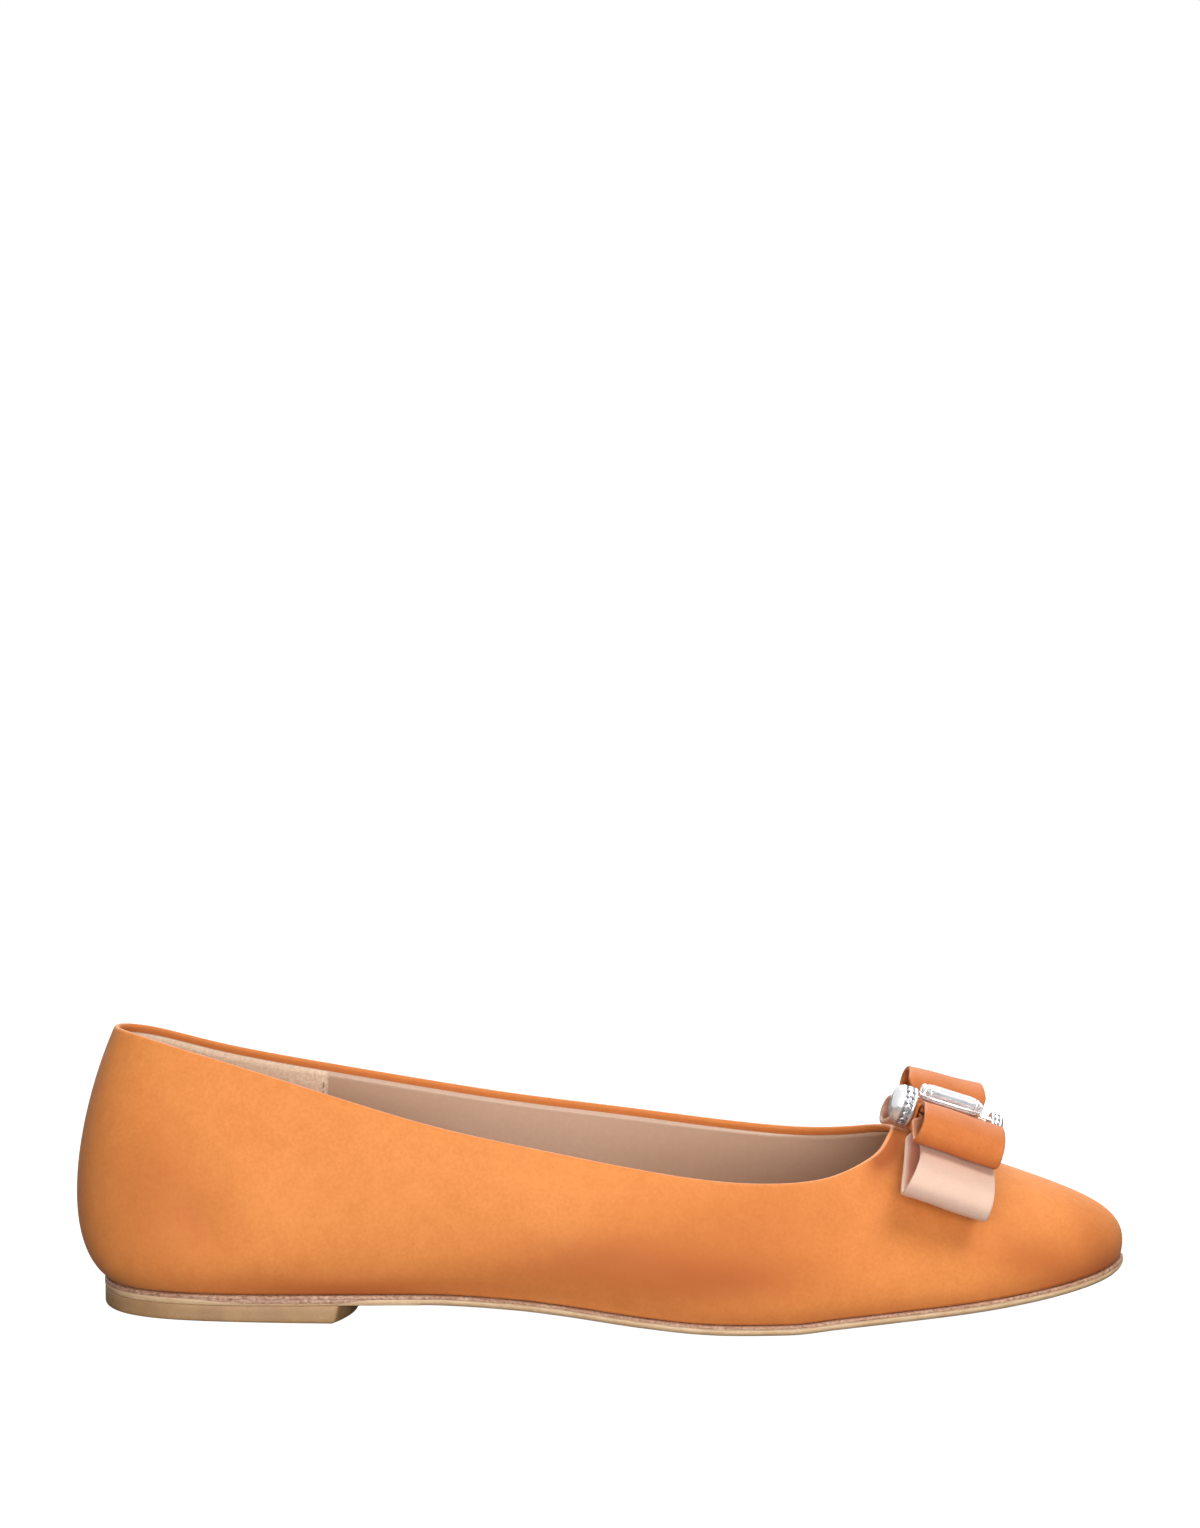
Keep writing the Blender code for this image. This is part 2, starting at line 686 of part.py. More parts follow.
# Looks of the plain parts: colour, roughness and metal share
LOOKS = {
    "upper": ((0.73, 0.23, 0.06), 0.42, 0.0),
    "outsole": ((0.42, 0.24, 0.12), 0.60, 0.0),
    "insole": ((0.56, 0.38, 0.28), 0.70, 0.0),
    "heel_block": ((0.48, 0.31, 0.17), 0.60, 0.0),
    "bow_pink": ((0.95, 0.67, 0.52), 0.45, 0.0),
    "bow_satin": ((0.73, 0.23, 0.06), 0.42, 0.0),
    "bow_knot": ((0.70, 0.22, 0.06), 0.45, 0.0),
    "brooch_cap_heel": ((0.80, 0.80, 0.80), 0.12, 1.0),
    "brooch_cap_toe": ((0.80, 0.80, 0.80), 0.12, 1.0),
    "brooch_setting": ((0.75, 0.75, 0.76), 0.20, 1.0),
    "brooch_stone": ((0.85, 0.88, 0.90), 0.03, 0.0),
}

# All pieces are moved together so that the origin is under the middle of the whole shoe
everything = np.concatenate([points for points, _ in pieces.values()])
low = everything.min(axis=0)
high = everything.max(axis=0)
shift = -np.array([(low[0] + high[0]) / 2, (low[1] + high[1]) / 2, low[2]])

for name, (points, faces) in pieces.items():
    mesh = bpy.data.meshes.new(name)
    mesh.from_pydata([tuple(point) for point in points + shift], [], faces)
    mesh.validate()
    colour, roughness, metal = LOOKS[name]
    material = bpy.data.materials.new(name)
    material.use_nodes = True
    shader = material.node_tree.nodes["Principled BSDF"]
    shader.inputs["Base Color"].default_value = (*colour, 1)
    shader.inputs["Roughness"].default_value = roughness
    shader.inputs["Metallic"].default_value = metal
    mesh.materials.append(material)
    bpy.context.scene.collection.objects.link(bpy.data.objects.new(name, mesh))
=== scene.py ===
import math

import bpy
import numpy as np
from mathutils import Matrix, Vector


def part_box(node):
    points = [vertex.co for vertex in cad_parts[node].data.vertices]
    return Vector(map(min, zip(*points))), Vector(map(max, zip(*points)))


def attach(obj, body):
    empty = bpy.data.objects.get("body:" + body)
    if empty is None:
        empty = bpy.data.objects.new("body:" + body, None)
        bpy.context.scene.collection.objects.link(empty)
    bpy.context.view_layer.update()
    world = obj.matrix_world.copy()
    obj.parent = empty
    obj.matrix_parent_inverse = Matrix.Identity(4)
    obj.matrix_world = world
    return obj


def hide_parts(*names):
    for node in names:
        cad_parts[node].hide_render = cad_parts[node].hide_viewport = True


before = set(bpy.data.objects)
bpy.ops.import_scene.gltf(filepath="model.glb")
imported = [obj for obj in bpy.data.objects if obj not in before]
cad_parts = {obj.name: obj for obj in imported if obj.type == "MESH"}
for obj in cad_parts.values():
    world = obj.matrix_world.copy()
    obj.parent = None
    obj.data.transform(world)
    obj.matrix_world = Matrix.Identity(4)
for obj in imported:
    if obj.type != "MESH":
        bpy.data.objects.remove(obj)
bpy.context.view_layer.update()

# Outsole: one thin leather plate, cut to the last's bottom and cemented on.
# Its edge is trimmed by hand, burnished brown along the feather line, and left pale
# on the lower bevel, which starts just ahead of the heel.
SOLE_LENGTH = 0.243
BALL_WIDTH = 0.077
HEEL_LIFT = 0.0040
OUTSOLE_THICKNESS = 0.0023
GAP = 0.0003
BEVEL = 0.0007
PALE_BEVEL_FROM = 0.0735


def columns(table):
    """A table with a name over each column, as one array for each name."""
    names, *rows = (line.split() for line in table.strip().splitlines())
    return dict(zip(names, np.array(rows, float).T))


# Plan of the edge: along is a share of SOLE_LENGTH, lateral and medial of BALL_WIDTH
SOLE_PLAN = columns("""
along lateral medial
-0.0035  0.000 0.000
 0.0120 -0.192 0.192
 0.0490 -0.288 0.283
 0.1070 -0.332 0.321
 0.1890 -0.350 0.331
 0.2880 -0.358 0.303
 0.3950 -0.400 0.281
 0.5020 -0.468 0.335
 0.6050 -0.500 0.455
 0.7080 -0.455 0.500
 0.8070 -0.397 0.452
 0.8930 -0.334 0.358
 0.9510 -0.245 0.250
 0.9860 -0.130 0.145
 1.0000  0.015 0.015
""")

# Underside along the length: height is a share of HEEL_LIFT
UNDERSIDE = columns("""
along height
0.000 0.97
0.090 0.98
0.240 1.10
0.315 1.18
0.390 1.04
0.430 0.86
0.520 0.28
0.570 0.05
0.600 0.00
0.655 0.00
0.705 0.26
0.755 0.52
0.832 0.96
0.900 1.52
0.947 2.00
0.980 2.42
1.000 2.80
""")


def monotone(table_x, table_y, at):
    """Cubic curve through a table that never swings past its rows."""
    step = np.diff(table_x)
    slope = np.diff(table_y) / step
    turn = np.zeros(len(table_x))
    same = slope[1:] * slope[:-1] > 0
    turn[1:-1][same] = 2 / (1 / slope[1:][same] + 1 / slope[:-1][same])
    turn[0] = slope[0]
    turn[-1] = slope[-1]
    at = np.clip(at, table_x[0], table_x[-1])
    row = np.clip(np.searchsorted(table_x, at, side="right") - 1, 0, len(step) - 1)
    t = (at - table_x[row]) / step[row]
    rise = table_y[row + 1] - table_y[row]
    left = turn[row] * step[row]
    right = turn[row + 1] * step[row]
    return table_y[row] + t * left + t**2 * (3 * rise - 2 * left - right) + t**3 * (left + right - 2 * rise)


def around(knots, values, at):
    """Smooth closed curve through rows of values. knots has one more entry than values."""
    count = len(values)
    span = np.diff(knots)
    before = np.roll(span, 1)
    left = np.zeros((count, count))
    right = np.zeros_like(values)
    for row in range(count):
        last = (row - 1) % count
        following = (row + 1) % count
        left[row, last] += before[row]
        left[row, row] += 2 * (before[row] + span[row])
        left[row, following] += span[row]
        right[row] = 6 * (
            (values[following] - values[row]) / span[row] - (values[row] - values[last]) / before[row]
        )
    bend = np.linalg.solve(left, right)
    at = np.asarray(at) % knots[-1]
    row = np.clip(np.searchsorted(knots, at, side="right") - 1, 0, count - 1)
    following = (row + 1) % count
    width = span[row][:, None]
    past = (at - knots[row])[:, None]
    ahead = width - past
    return (
        (bend[row] * ahead**3 + bend[following] * past**3) / (6 * width)
        + (values[row] / width - bend[row] * width / 6) * ahead
        + (values[following] / width - bend[following] * width / 6) * past
    )


def both_sides(lateral, medial):
    """Rows round the shoe: heel end, lateral side to the toe tip, medial side back."""
    return np.concatenate([lateral, medial[-2:0:-1]])


def round_rows(table, *sides):
    """Rows round the shoe: each column has its name on either side and the size it is a share of."""
    return np.stack([both_sides(table[left], table[right]) * size for left, right, size in sides], axis=1)


def underside(x):
    return HEEL_LIFT * monotone(UNDERSIDE["along"], UNDERSIDE["height"], x / SOLE_LENGTH)


def smooth_step(value, low, high):
    share = np.clip((value - low) / (high - low), 0, 1)
    return share * share * (3 - 2 * share)


edge_rows = round_rows(SOLE_PLAN, ("along", "along", SOLE_LENGTH), ("lateral", "medial", BALL_WIDTH))
edge_steps = np.linalg.norm(np.roll(edge_rows, -1, axis=0) - edge_rows, axis=1)
knots = np.concatenate([[0], np.cumsum(edge_steps**0.7)])
toe_knot = knots[len(SOLE_PLAN["along"]) - 1]


def stations(count):
    """count places round the shoe, half of them on each side, starting at the heel end."""
    half = count // 2
    lateral = np.linspace(0, toe_knot, half, endpoint=False)
    medial = np.linspace(toe_knot, knots[-1], count - half, endpoint=False)
    return np.concatenate([lateral, medial])


def edge_plan(at, inset):
    """The outsole's edge in plan, moved inwards by inset, and its outward direction."""
    near = 1e-4 * knots[-1]
    points = around(knots, edge_rows, at)
    along = around(knots, edge_rows, at + near) - around(knots, edge_rows, at - near)
    along /= np.linalg.norm(along, axis=1)[:, None]
    outward = np.stack([along[:, 1], -along[:, 0]], axis=1)
    return points - outward * np.reshape(inset, (-1, 1)), outward

def places_at(x, inset):
    """The places on the two sides where the edge, moved inwards by inset, is x from the heel end."""
    fine = np.linspace(0, toe_knot / 2, 400)
    return [np.interp(x, edge_plan(side, inset)[0][:, 0], side) for side in (fine, knots[-1] - fine)]


def tube(rings, closed=True):
    """Faces between rings of the same size, each ring closed round."""
    count, size = rings.shape[:2]
    last = count if closed else count - 1
    i = np.arange(size)
    j = (i + 1) % size
    faces = []
    for ring in range(last):
        a = ring * size
        b = (ring + 1) % count * size
        faces.append(np.stack([a + i, a + j, b + j, b + i], axis=1))
    return rings.reshape(-1, 3), np.concatenate(faces).tolist()


def capped(rings, turned=False):
    """Solid from a row of rings with the same corners, each end closed by one face."""
    rings = np.asarray(rings, float)
    count, size = rings.shape[:2]
    points, faces = tube(rings, closed=False)
    faces.append(tuple(reversed(range(size))))
    faces.append(tuple((count - 1) * size + i for i in range(size)))
    return points, [face[::-1] for face in faces] if turned else faces


def filled(points, faces, ring_start, size, upwards, across):
    """Closes a ring round the shoe with strips across it, level with its two sides."""
    half = size // 2
    points = list(points)
    grid = []
    for i in range(1, half):
        left = points[ring_start + i]
        right = points[ring_start + size - i]
        row = [ring_start + i]
        for k in range(1, across):
            row.append(len(points))
            points.append(left + (right - left) * k / across)
        row.append(ring_start + size - i)
        grid.append(row)
    cap = []
    for row, following in zip(grid, grid[1:]):
        for k in range(across):
            cap.append((row[k], row[k + 1], following[k + 1], following[k]))
    for k in range(across):
        cap.append((ring_start, grid[0][k + 1], grid[0][k]))
        cap.append((ring_start + half, grid[-1][k], grid[-1][k + 1]))
    faces = list(faces) + [face[::-1] if upwards else face for face in cap]
    return np.array(points), faces


# The shoe's own place in the frame: x is counted from the heel end of the sole's last
sole_low, sole_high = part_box("outsole")
own_edge, _ = edge_plan(stations(720), 0.0)
shoe_shift = np.array([sole_low[0] - own_edge[:, 0].min(), sole_low[1] - own_edge[:, 1].min(), 0.0])


def make_piece(name, shape, materials, slot_name, *nodes, smooth=True, attributes=()):
    """Mesh object in the frame from points in the shoe's own places, in its finishes.

    It belongs to the shoe's one body and stands for CAD nodes; its slot name is not used."""
    points, faces = shape
    mesh = bpy.data.meshes.new(name)
    mesh.from_pydata((np.asarray(points, float) + shoe_shift).tolist(), [], [tuple(f) for f in faces])
    mesh.validate()
    mesh.polygons.foreach_set("use_smooth", [smooth] * len(mesh.polygons))
    for label, values in attributes:
        layer = mesh.attributes.new(label, "FLOAT", "POINT")
        layer.data.foreach_set("value", np.asarray(values, np.float32))
    for material in materials:
        mesh.materials.append(material)
    piece = bpy.data.objects.new(name, mesh)
    bpy.context.scene.collection.objects.link(piece)
    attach(piece, "root")
    if nodes:
        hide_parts(*nodes)
    return piece


class Tree:
    """Short way to place and join nodes in a material or a node group."""

    def __init__(self, tree, shader=None):
        self.tree = tree
        self.shader = shader

    def feed(self, socket, value):
        if isinstance(value, bpy.types.NodeSocket):
            self.tree.links.new(value, socket)
        else:
            socket.default_value = value

    def fill(self, made, inputs):
        for key, value in inputs.items():
            self.feed(made.inputs[key.replace("_", " ")], value)
        return made

    def dress(self, **inputs):
        """Sets or links sockets of the material's own shader."""
        self.fill(self.shader, inputs)

    def node(self, kind, settings=None, **inputs):
        made = self.tree.nodes.new(kind)
        for key, value in (settings or {}).items():
            setattr(made, key, value)
        return self.fill(made, inputs)

    def maths(self, operation, *values):
        made = self.node("ShaderNodeMath", {"operation": operation})
        for socket, value in zip(made.inputs, values):
            self.feed(socket, value)
        return made.outputs[0]

    def between(self, share, first, second):
        """Colour mixed from first to second by share."""
        made = self.node("ShaderNodeMix", {"data_type": "RGBA"})
        for index, value in ((0, share), (6, first), (7, second)):
            self.feed(made.inputs[index], value)
        return made.outputs[2]

    def ranged(self, value, low, high, to_low=0.0, to_high=1.0):
        ends = {"From_Min": low, "From_Max": high, "To_Min": to_low, "To_Max": to_high}
        return self.node("ShaderNodeMapRange", Value=value, **ends).outputs["Result"]

    def noise(self, scale, detail, at=None, **more):
        """Soft random pattern over the piece, or over the vectors in at."""
        if at is None:
            at = self.node("ShaderNodeTexCoord").outputs["Object"]
        return self.node("ShaderNodeTexNoise", Vector=at, Scale=scale, Detail=detail, **more).outputs["Fac"]

    def attribute(self, name):
        return self.node("ShaderNodeAttribute", {"attribute_name": name}).outputs["Fac"]

    def relief(self, *layers):
        """Fine bumps in the material's shader, each layer (height, strength, distance)."""
        under = {}
        for height, strength, distance in layers:
            bump = self.node("ShaderNodeBump", Strength=strength, Distance=distance, Height=height, **under)
            under = {"Normal": bump.outputs["Normal"]}
        self.dress(**under)


def new_material(name, roughness=0.5, metallic=0.0):
    material = bpy.data.materials.new(name)
    material.use_nodes = True
    m = Tree(material.node_tree, material.node_tree.nodes["Principled BSDF"])
    m.dress(Roughness=roughness, Metallic=metallic)
    return material, m


def new_group(name, inputs, outputs):
    """Shader node group with named sockets: inputs are (name, default), outputs (name, kind)."""
    group = bpy.data.node_groups.new(name, "ShaderNodeTree")
    for label, default in inputs:
        kind = "NodeSocketColor" if isinstance(default, tuple) else "NodeSocketFloat"
        socket = group.interface.new_socket(name=label, in_out="INPUT", socket_type=kind)
        socket.default_value = default
    for label, kind in outputs:
        group.interface.new_socket(name=label, in_out="OUTPUT", socket_type=kind)
    entry = group.nodes.new("NodeGroupInput")
    leave = group.nodes.new("NodeGroupOutput")
    return group, Tree(group), entry.outputs, leave.inputs


def colour(red, green, blue):
    """Linear colour from the 0 to 255 values that a painter reads off a swatch."""
    linear = [
        c / 12.92 if c <= 0.04045 else ((c + 0.055) / 1.055) ** 2.4
        for c in (red / 255, green / 255, blue / 255)
    ]
    return (*linear, 1.0)

def mottled(name, roughness, tone, *patterns, metallic=0.0):
    """Material in one tone that turns to others by soft random patterns, and those patterns.

    Each pattern is (tone, scale, detail, low, high, most)."""
    material, m = new_material(name, roughness, metallic)
    base = colour(*tone)
    made = []
    for other, scale, detail, low, high, most in patterns:
        made.append(m.noise(scale, detail))
        base = m.between(m.ranged(made[-1], low, high, 0.0, most), base, colour(*other))
    m.dress(Base_Color=base)
    return material, m, made


# Leather grain: fine pores with a slow change of tone, for the sole, the lining and the sock
leather_grain, g, given, out = new_group(
    "leather_grain",
    [("Colour", (0.5, 0.4, 0.3, 1.0)), ("Tone Change", 0.15), ("Pore Scale", 1800.0)],
    [("Colour", "NodeSocketColor"), ("Height", "NodeSocketFloat")],
)
place = g.node("ShaderNodeTexCoord").outputs["Object"]
pores = g.node("ShaderNodeTexVoronoi", Vector=place, Scale=given["Pore Scale"]).outputs["Distance"]
clouds = g.noise(55.0, 4.0)
grain = g.noise(900.0, 3.0)
tone = g.maths("MULTIPLY", g.maths("ADD", g.ranged(clouds, 0.3, 0.7), g.ranged(grain, 0.3, 0.7)), 0.5)
darker = g.node("ShaderNodeHueSaturation", Color=given["Colour"], Value=0.72, Saturation=1.12)
share = g.maths("MULTIPLY", tone, given["Tone Change"])
g.feed(out["Colour"], g.between(share, given["Colour"], darker.outputs["Color"]))
g.feed(out["Height"], g.maths("ADD", pores, g.maths("MULTIPLY", grain, 0.8)))

def grained(name, roughness, face, change, pore_scale, strength):
    """Smooth leather in one tone, with its grain raised a little."""
    material, m = new_material(name, roughness)
    group = {"node_tree": leather_grain}
    face = colour(*face)
    grain = m.node("ShaderNodeGroup", group, Colour=face, Tone_Change=change, Pore_Scale=pore_scale)
    m.dress(Base_Color=grain.outputs["Colour"])
    m.relief((grain.outputs["Height"], strength, 0.0001))
    return material


# Edge of the sole, from the floor side up: bevel, pale lower part, groove, burnished part
EDGE_PROFILE = columns("""
height inset
0.00 1.00
0.06 0.72
0.14 0.42
0.22 0.18
0.30 0.04
0.40 0.00
0.50 0.00
0.56 0.06
0.60 0.10
0.64 0.04
0.72 0.00
0.80 0.02
0.88 0.08
0.95 0.22
1.00 0.50
""")
SOLE_AROUND = 720
sole_places = stations(SOLE_AROUND)
hand = np.random.default_rng(4)


def ragged(count, passes, size):
    """Even random unevenness round a closed edge."""
    values = hand.normal(size=count)
    for _ in range(passes):
        values = (values + np.roll(values, 1) + np.roll(values, -1)) / 3
    return values / values.std() * size


slow_edge = ragged(SOLE_AROUND, 60, 0.00007)
sole_rings = []
for height, inset in zip(EDGE_PROFILE["height"], EDGE_PROFILE["inset"]):
    plan, _ = edge_plan(sole_places, 0.0)
    trimmed = smooth_step(plan[:, 0], PALE_BEVEL_FROM - 0.001, PALE_BEVEL_FROM + 0.0005)
    bevel = inset * BEVEL
    if height < 0.45:
        bevel = bevel * (0.35 + 0.65 * trimmed)
    rough = ragged(SOLE_AROUND, 2, 0.000035 if 0.62 < height < 0.99 else 0.000012)
    plan, _ = edge_plan(sole_places, bevel + 0.00012 - np.clip(slow_edge, -0.0001, 0.0001) + rough)
    base = underside(plan[:, 0]) + height * OUTSOLE_THICKNESS
    sole_rings.append(np.column_stack([plan, base]))
sole_rings = np.array(sole_rings)
points, faces = tube(sole_rings, closed=False)
edge_height = np.repeat(EDGE_PROFILE["height"], SOLE_AROUND)
# Round the heel the burnish reaches further down the edge, and ahead of the waist less far
on_seat = smooth_step(points[:, 0], 0.016, 0.034) * (1 - smooth_step(points[:, 0], 0.053, 0.062))
edge_height = edge_height + 0.36 * on_seat - 0.12 * smooth_step(points[:, 0], 0.060, 0.100)
rings = len(sole_rings)
points, faces = filled(points, faces, 0, SOLE_AROUND, False, 26)
extra = len(points) - len(edge_height)
edge_height = np.concatenate([edge_height, np.full(extra, -1.0)])
points, faces = filled(points, faces, (rings - 1) * SOLE_AROUND, SOLE_AROUND, True, 6)
edge_height = np.concatenate([edge_height, np.full(len(points) - len(edge_height), 1.0)])

sole_leather, m = new_material("sole_leather", 0.55)
height = m.attribute("edge_height")
fleck = m.noise(1300.0, 5.0, Roughness=0.65)
streak = m.noise(260.0, 4.0)
brown = m.between(m.ranged(fleck, 0.34, 0.66), colour(112, 70, 48), colour(198, 160, 134))
brown = m.between(m.ranged(streak, 0.35, 0.7, 0.0, 0.6), brown, colour(150, 104, 78))
tan = m.between(m.ranged(streak, 0.3, 0.7), colour(206, 176, 140), colour(190, 155, 117))
body = m.node("ShaderNodeGroup", {"node_tree": leather_grain}, Colour=tan, Tone_Change=0.25)
uneven = m.maths("MULTIPLY", m.maths("SUBTRACT", fleck, 0.5), 0.5)
strip = m.maths("ADD", m.ranged(height, 0.50, 0.64), uneven)
m.dress(Base_Color=m.between(m.ranged(strip, 0.3, 0.7), body.outputs["Colour"], brown))
m.relief((body.outputs["Height"], 0.35, 0.00012), (fleck, 0.5, 0.0002))
burnish = [("edge_height", edge_height)]
make_piece("outsole_leather", (points, faces), [sole_leather], "sole_leather", "outsole", attributes=burnish)

# Heel block: a low stack of leather lifts under the heel seat, sanded flush and left natural.
# Its breast is nearly upright and bows forward in the middle. It is cemented to the outsole.
BREAST_TOP = 0.0539
BREAST_BOTTOM = 0.0530
BREAST_BOW = 0.0066
BLOCK_INSET_TOP = 0.0002
BLOCK_INSET_BOTTOM = 0.0003
BLOCK_AROUND = 260
BREAST_STEPS = 60


def block_ring(inset, breast, height):
    """Outline of the heel block at one height: lateral corner, round the heel, across the breast."""
    start, end = places_at(breast, inset)
    at = np.linspace(start, end - knots[-1], BLOCK_AROUND)
    plan, _ = edge_plan(at, inset)
    share = np.linspace(-1, 1, BREAST_STEPS + 2)[1:-1]
    cross = plan[-1] + (plan[0] - plan[-1]) * ((share + 1) / 2)[:, None]
    cross[:, 0] += BREAST_BOW * (1 - share**2)
    plan = np.concatenate([plan, cross])
    return np.column_stack([plan, (underside(plan[:, 0]) - 0.00005) * height])


# Height is a share of the block's own, and inset is in metres
BLOCK_PROFILE = columns("""
height inset
0.00 0.00040
0.04 0.00012
0.12 0.00000
0.30 0.00000
0.60 0.00000
0.92 0.00000
0.97 0.00008
1.00 0.00025
""")
block_rings = []
for height, inset in zip(BLOCK_PROFILE["height"], BLOCK_PROFILE["inset"]):
    level = BLOCK_INSET_BOTTOM + (BLOCK_INSET_TOP - BLOCK_INSET_BOTTOM) * height + inset
    breast = BREAST_BOTTOM + (BREAST_TOP - BREAST_BOTTOM) * height - inset
    block_rings.append(block_ring(level, breast, height))
block_rings = np.array(block_rings)
points, faces = tube(block_rings[::-1], closed=False)
points = list(points)
block_size = BLOCK_AROUND + BREAST_STEPS
levels = len(block_rings)
for base, turned_over in ((0, False), ((levels - 1) * block_size, True)):
    middle = BLOCK_AROUND // 2
    left = [base + middle - k for k in range(1, middle + 1)]
    right = [base + middle - 1 + k for k in range(1, middle + 1)]
    across = BREAST_STEPS // 2
    left += [base + block_size - k for k in range(1, across)]
    right += [base + BLOCK_AROUND - 1 + k for k in range(1, across)]
    cap = [(left[k], left[k + 1], right[k + 1], right[k]) for k in range(len(left) - 1)]
    cap.append((left[-1], base + block_size - across, base + BLOCK_AROUND - 1 + across, right[-1]))
    faces += [face[::-1] if turned_over else face for face in cap]
heel_leather, m, (layer, speck) = mottled(
    "heel_leather",
    0.6,
    (162, 126, 86),
    ((148, 112, 74), 140.0, 6.0, 0.35, 0.65, 1.0),
    ((138, 108, 78), 1500.0, 4.0, 0.4, 0.75, 0.4),
)
m.relief((speck, 0.4, 0.00012), (layer, 0.3, 0.0003))
make_piece("heel_block_leather", (points, faces), [heel_leather], "heel_leather", "heel_block")

# Insole: the board covered with a soft leather sock, which is glued down from heel to toe.
# The sock's edge is skived and rolls over into the join with the lining.
UPPER_WALL = 0.002
FEATHER_INSET = 0.0008
INSOLE_THICKNESS = 0.0022
SOCK_AROUND = 480
sock_places = stations(SOCK_AROUND)
# Height is a share of INSOLE_THICKNESS, and inset is in metres
SOCK_PROFILE = columns("""
height inset
0.00 0.0000
0.50 0.0000
0.72 0.0001
0.88 0.0004
0.96 0.0009
1.00 0.0017
""")
sock_rings = []
for height, inset in zip(SOCK_PROFILE["height"], SOCK_PROFILE["inset"]):
    plan, _ = edge_plan(sock_places, FEATHER_INSET + UPPER_WALL + GAP + inset)
    lift = OUTSOLE_THICKNESS + GAP + height * INSOLE_THICKNESS
    sock_rings.append(np.column_stack([plan, underside(plan[:, 0]) + lift]))
points, faces = tube(np.array(sock_rings), closed=False)
points, faces = filled(points, faces, 0, SOCK_AROUND, False, 6)
points, faces = filled(points, faces, (len(sock_rings) - 1) * SOCK_AROUND, SOCK_AROUND, True, 30)
sock_leather = grained("sock_leather", 0.52, (214, 180, 156), 0.35, 2300.0, 0.3)
make_piece("insole_sock", (points, faces), [sock_leather], "sock_leather", "insole")

# Upper: satin over a soft counter and toe puff, pulled down over the last and turned under.
# The satin rolls over the topline tape and ends a little way down inside, and the heel and
# the throat keep the soft dents of handling.
BACK_HEIGHT = 0.0653
HEEL_SWELL = 0.0108
# Topline: along is a share of SOLE_LENGTH, the sides of BALL_WIDTH, the heights of BACK_HEIGHT
TOPLINE = columns("""
along lateral medial lateral_height medial_height
0.002  0.000 0.000 1.000 1.000
0.011 -0.090 0.090 0.998 0.995
0.043 -0.170 0.170 0.974 0.968
0.103 -0.240 0.236 0.919 0.904
0.198 -0.302 0.286 0.822 0.830
0.305 -0.340 0.312 0.711 0.761
0.403 -0.366 0.328 0.636 0.704
0.498 -0.390 0.343 0.573 0.660
0.588 -0.386 0.357 0.525 0.619
0.663 -0.345 0.345 0.516 0.596
0.708 -0.270 0.290 0.537 0.604
0.737 -0.196 0.215 0.575 0.626
0.755 -0.126 0.140 0.611 0.648
0.765 -0.055 0.070 0.649 0.662
0.770  0.006 0.006 0.667 0.667
""")
# Each rib is a curve with two handles: flare and swell are how far they stand out, as shares of
# HEEL_SWELL, rise and drop how far they are from its foot and its top, as shares of its height,
# and reach how far the upper one goes back out towards the foot
FULLNESS = columns("""
flare rise reach swell drop
1.13 0.13 0.00 0.80 0.36
1.12 0.13 0.00 0.76 0.36
0.92 0.15 0.00 0.66 0.36
0.62 0.19 0.00 0.54 0.36
0.44 0.24 0.05 0.42 0.36
0.36 0.28 0.05 0.34 0.36
0.40 0.30 0.08 0.30 0.36
0.42 0.32 0.15 0.28 0.36
0.38 0.34 0.25 0.22 0.36
0.38 0.36 0.38 0.15 0.39
0.30 0.38 0.52 0.08 0.43
0.26 0.41 0.64 0.04 0.47
0.28 0.43 0.72 0.01 0.50
0.30 0.45 0.77 0.00 0.51
0.30 0.45 0.78 0.00 0.51
""")
topline_rows = round_rows(
    TOPLINE,
    ("along", "along", SOLE_LENGTH),
    ("lateral", "medial", BALL_WIDTH),
    ("lateral_height", "medial_height", BACK_HEIGHT),
)
fullness_rows = round_rows(FULLNESS, *((name, name, 1.0) for name in FULLNESS))


def upper_skin(at, steps):
    """The outer skin of the upper: a rib from the sole's edge up to the topline at each place."""
    foot_plan, outward = edge_plan(at, FEATHER_INSET)
    top = around(knots, topline_rows, at)
    flare, rise, reach, swell, drop = around(knots, fullness_rows, at).T
    foot_z = underside(foot_plan[:, 0]) + OUTSOLE_THICKNESS + GAP
    height = top[:, 2] - foot_z
    foot = np.column_stack([foot_plan, foot_z])
    low = np.column_stack([foot_plan + outward * (flare * HEEL_SWELL)[:, None], foot_z + rise * height])
    towards = (foot_plan - top[:, :2]) * reach[:, None] + outward * (swell * HEEL_SWELL)[:, None]
    high = np.column_stack([top[:, :2] + towards, top[:, 2] - drop * height])
    t = np.linspace(0, 1, steps)[None, :, None]
    foot, low, high, top = (point[:, None, :] for point in (foot, low, high, top))
    return foot * (1 - t) ** 3 + 3 * low * t * (1 - t) ** 2 + 3 * high * t**2 * (1 - t) + top * t**3


def unit(vectors):
    return vectors / np.linalg.norm(vectors, axis=-1, keepdims=True)


def skin_normals(skin):
    """Outward directions of a skin that is closed round its first axis."""
    round_it = np.roll(skin, -1, axis=0) - np.roll(skin, 1, axis=0)
    up_it = np.gradient(skin, axis=1)
    return unit(np.cross(round_it, up_it))


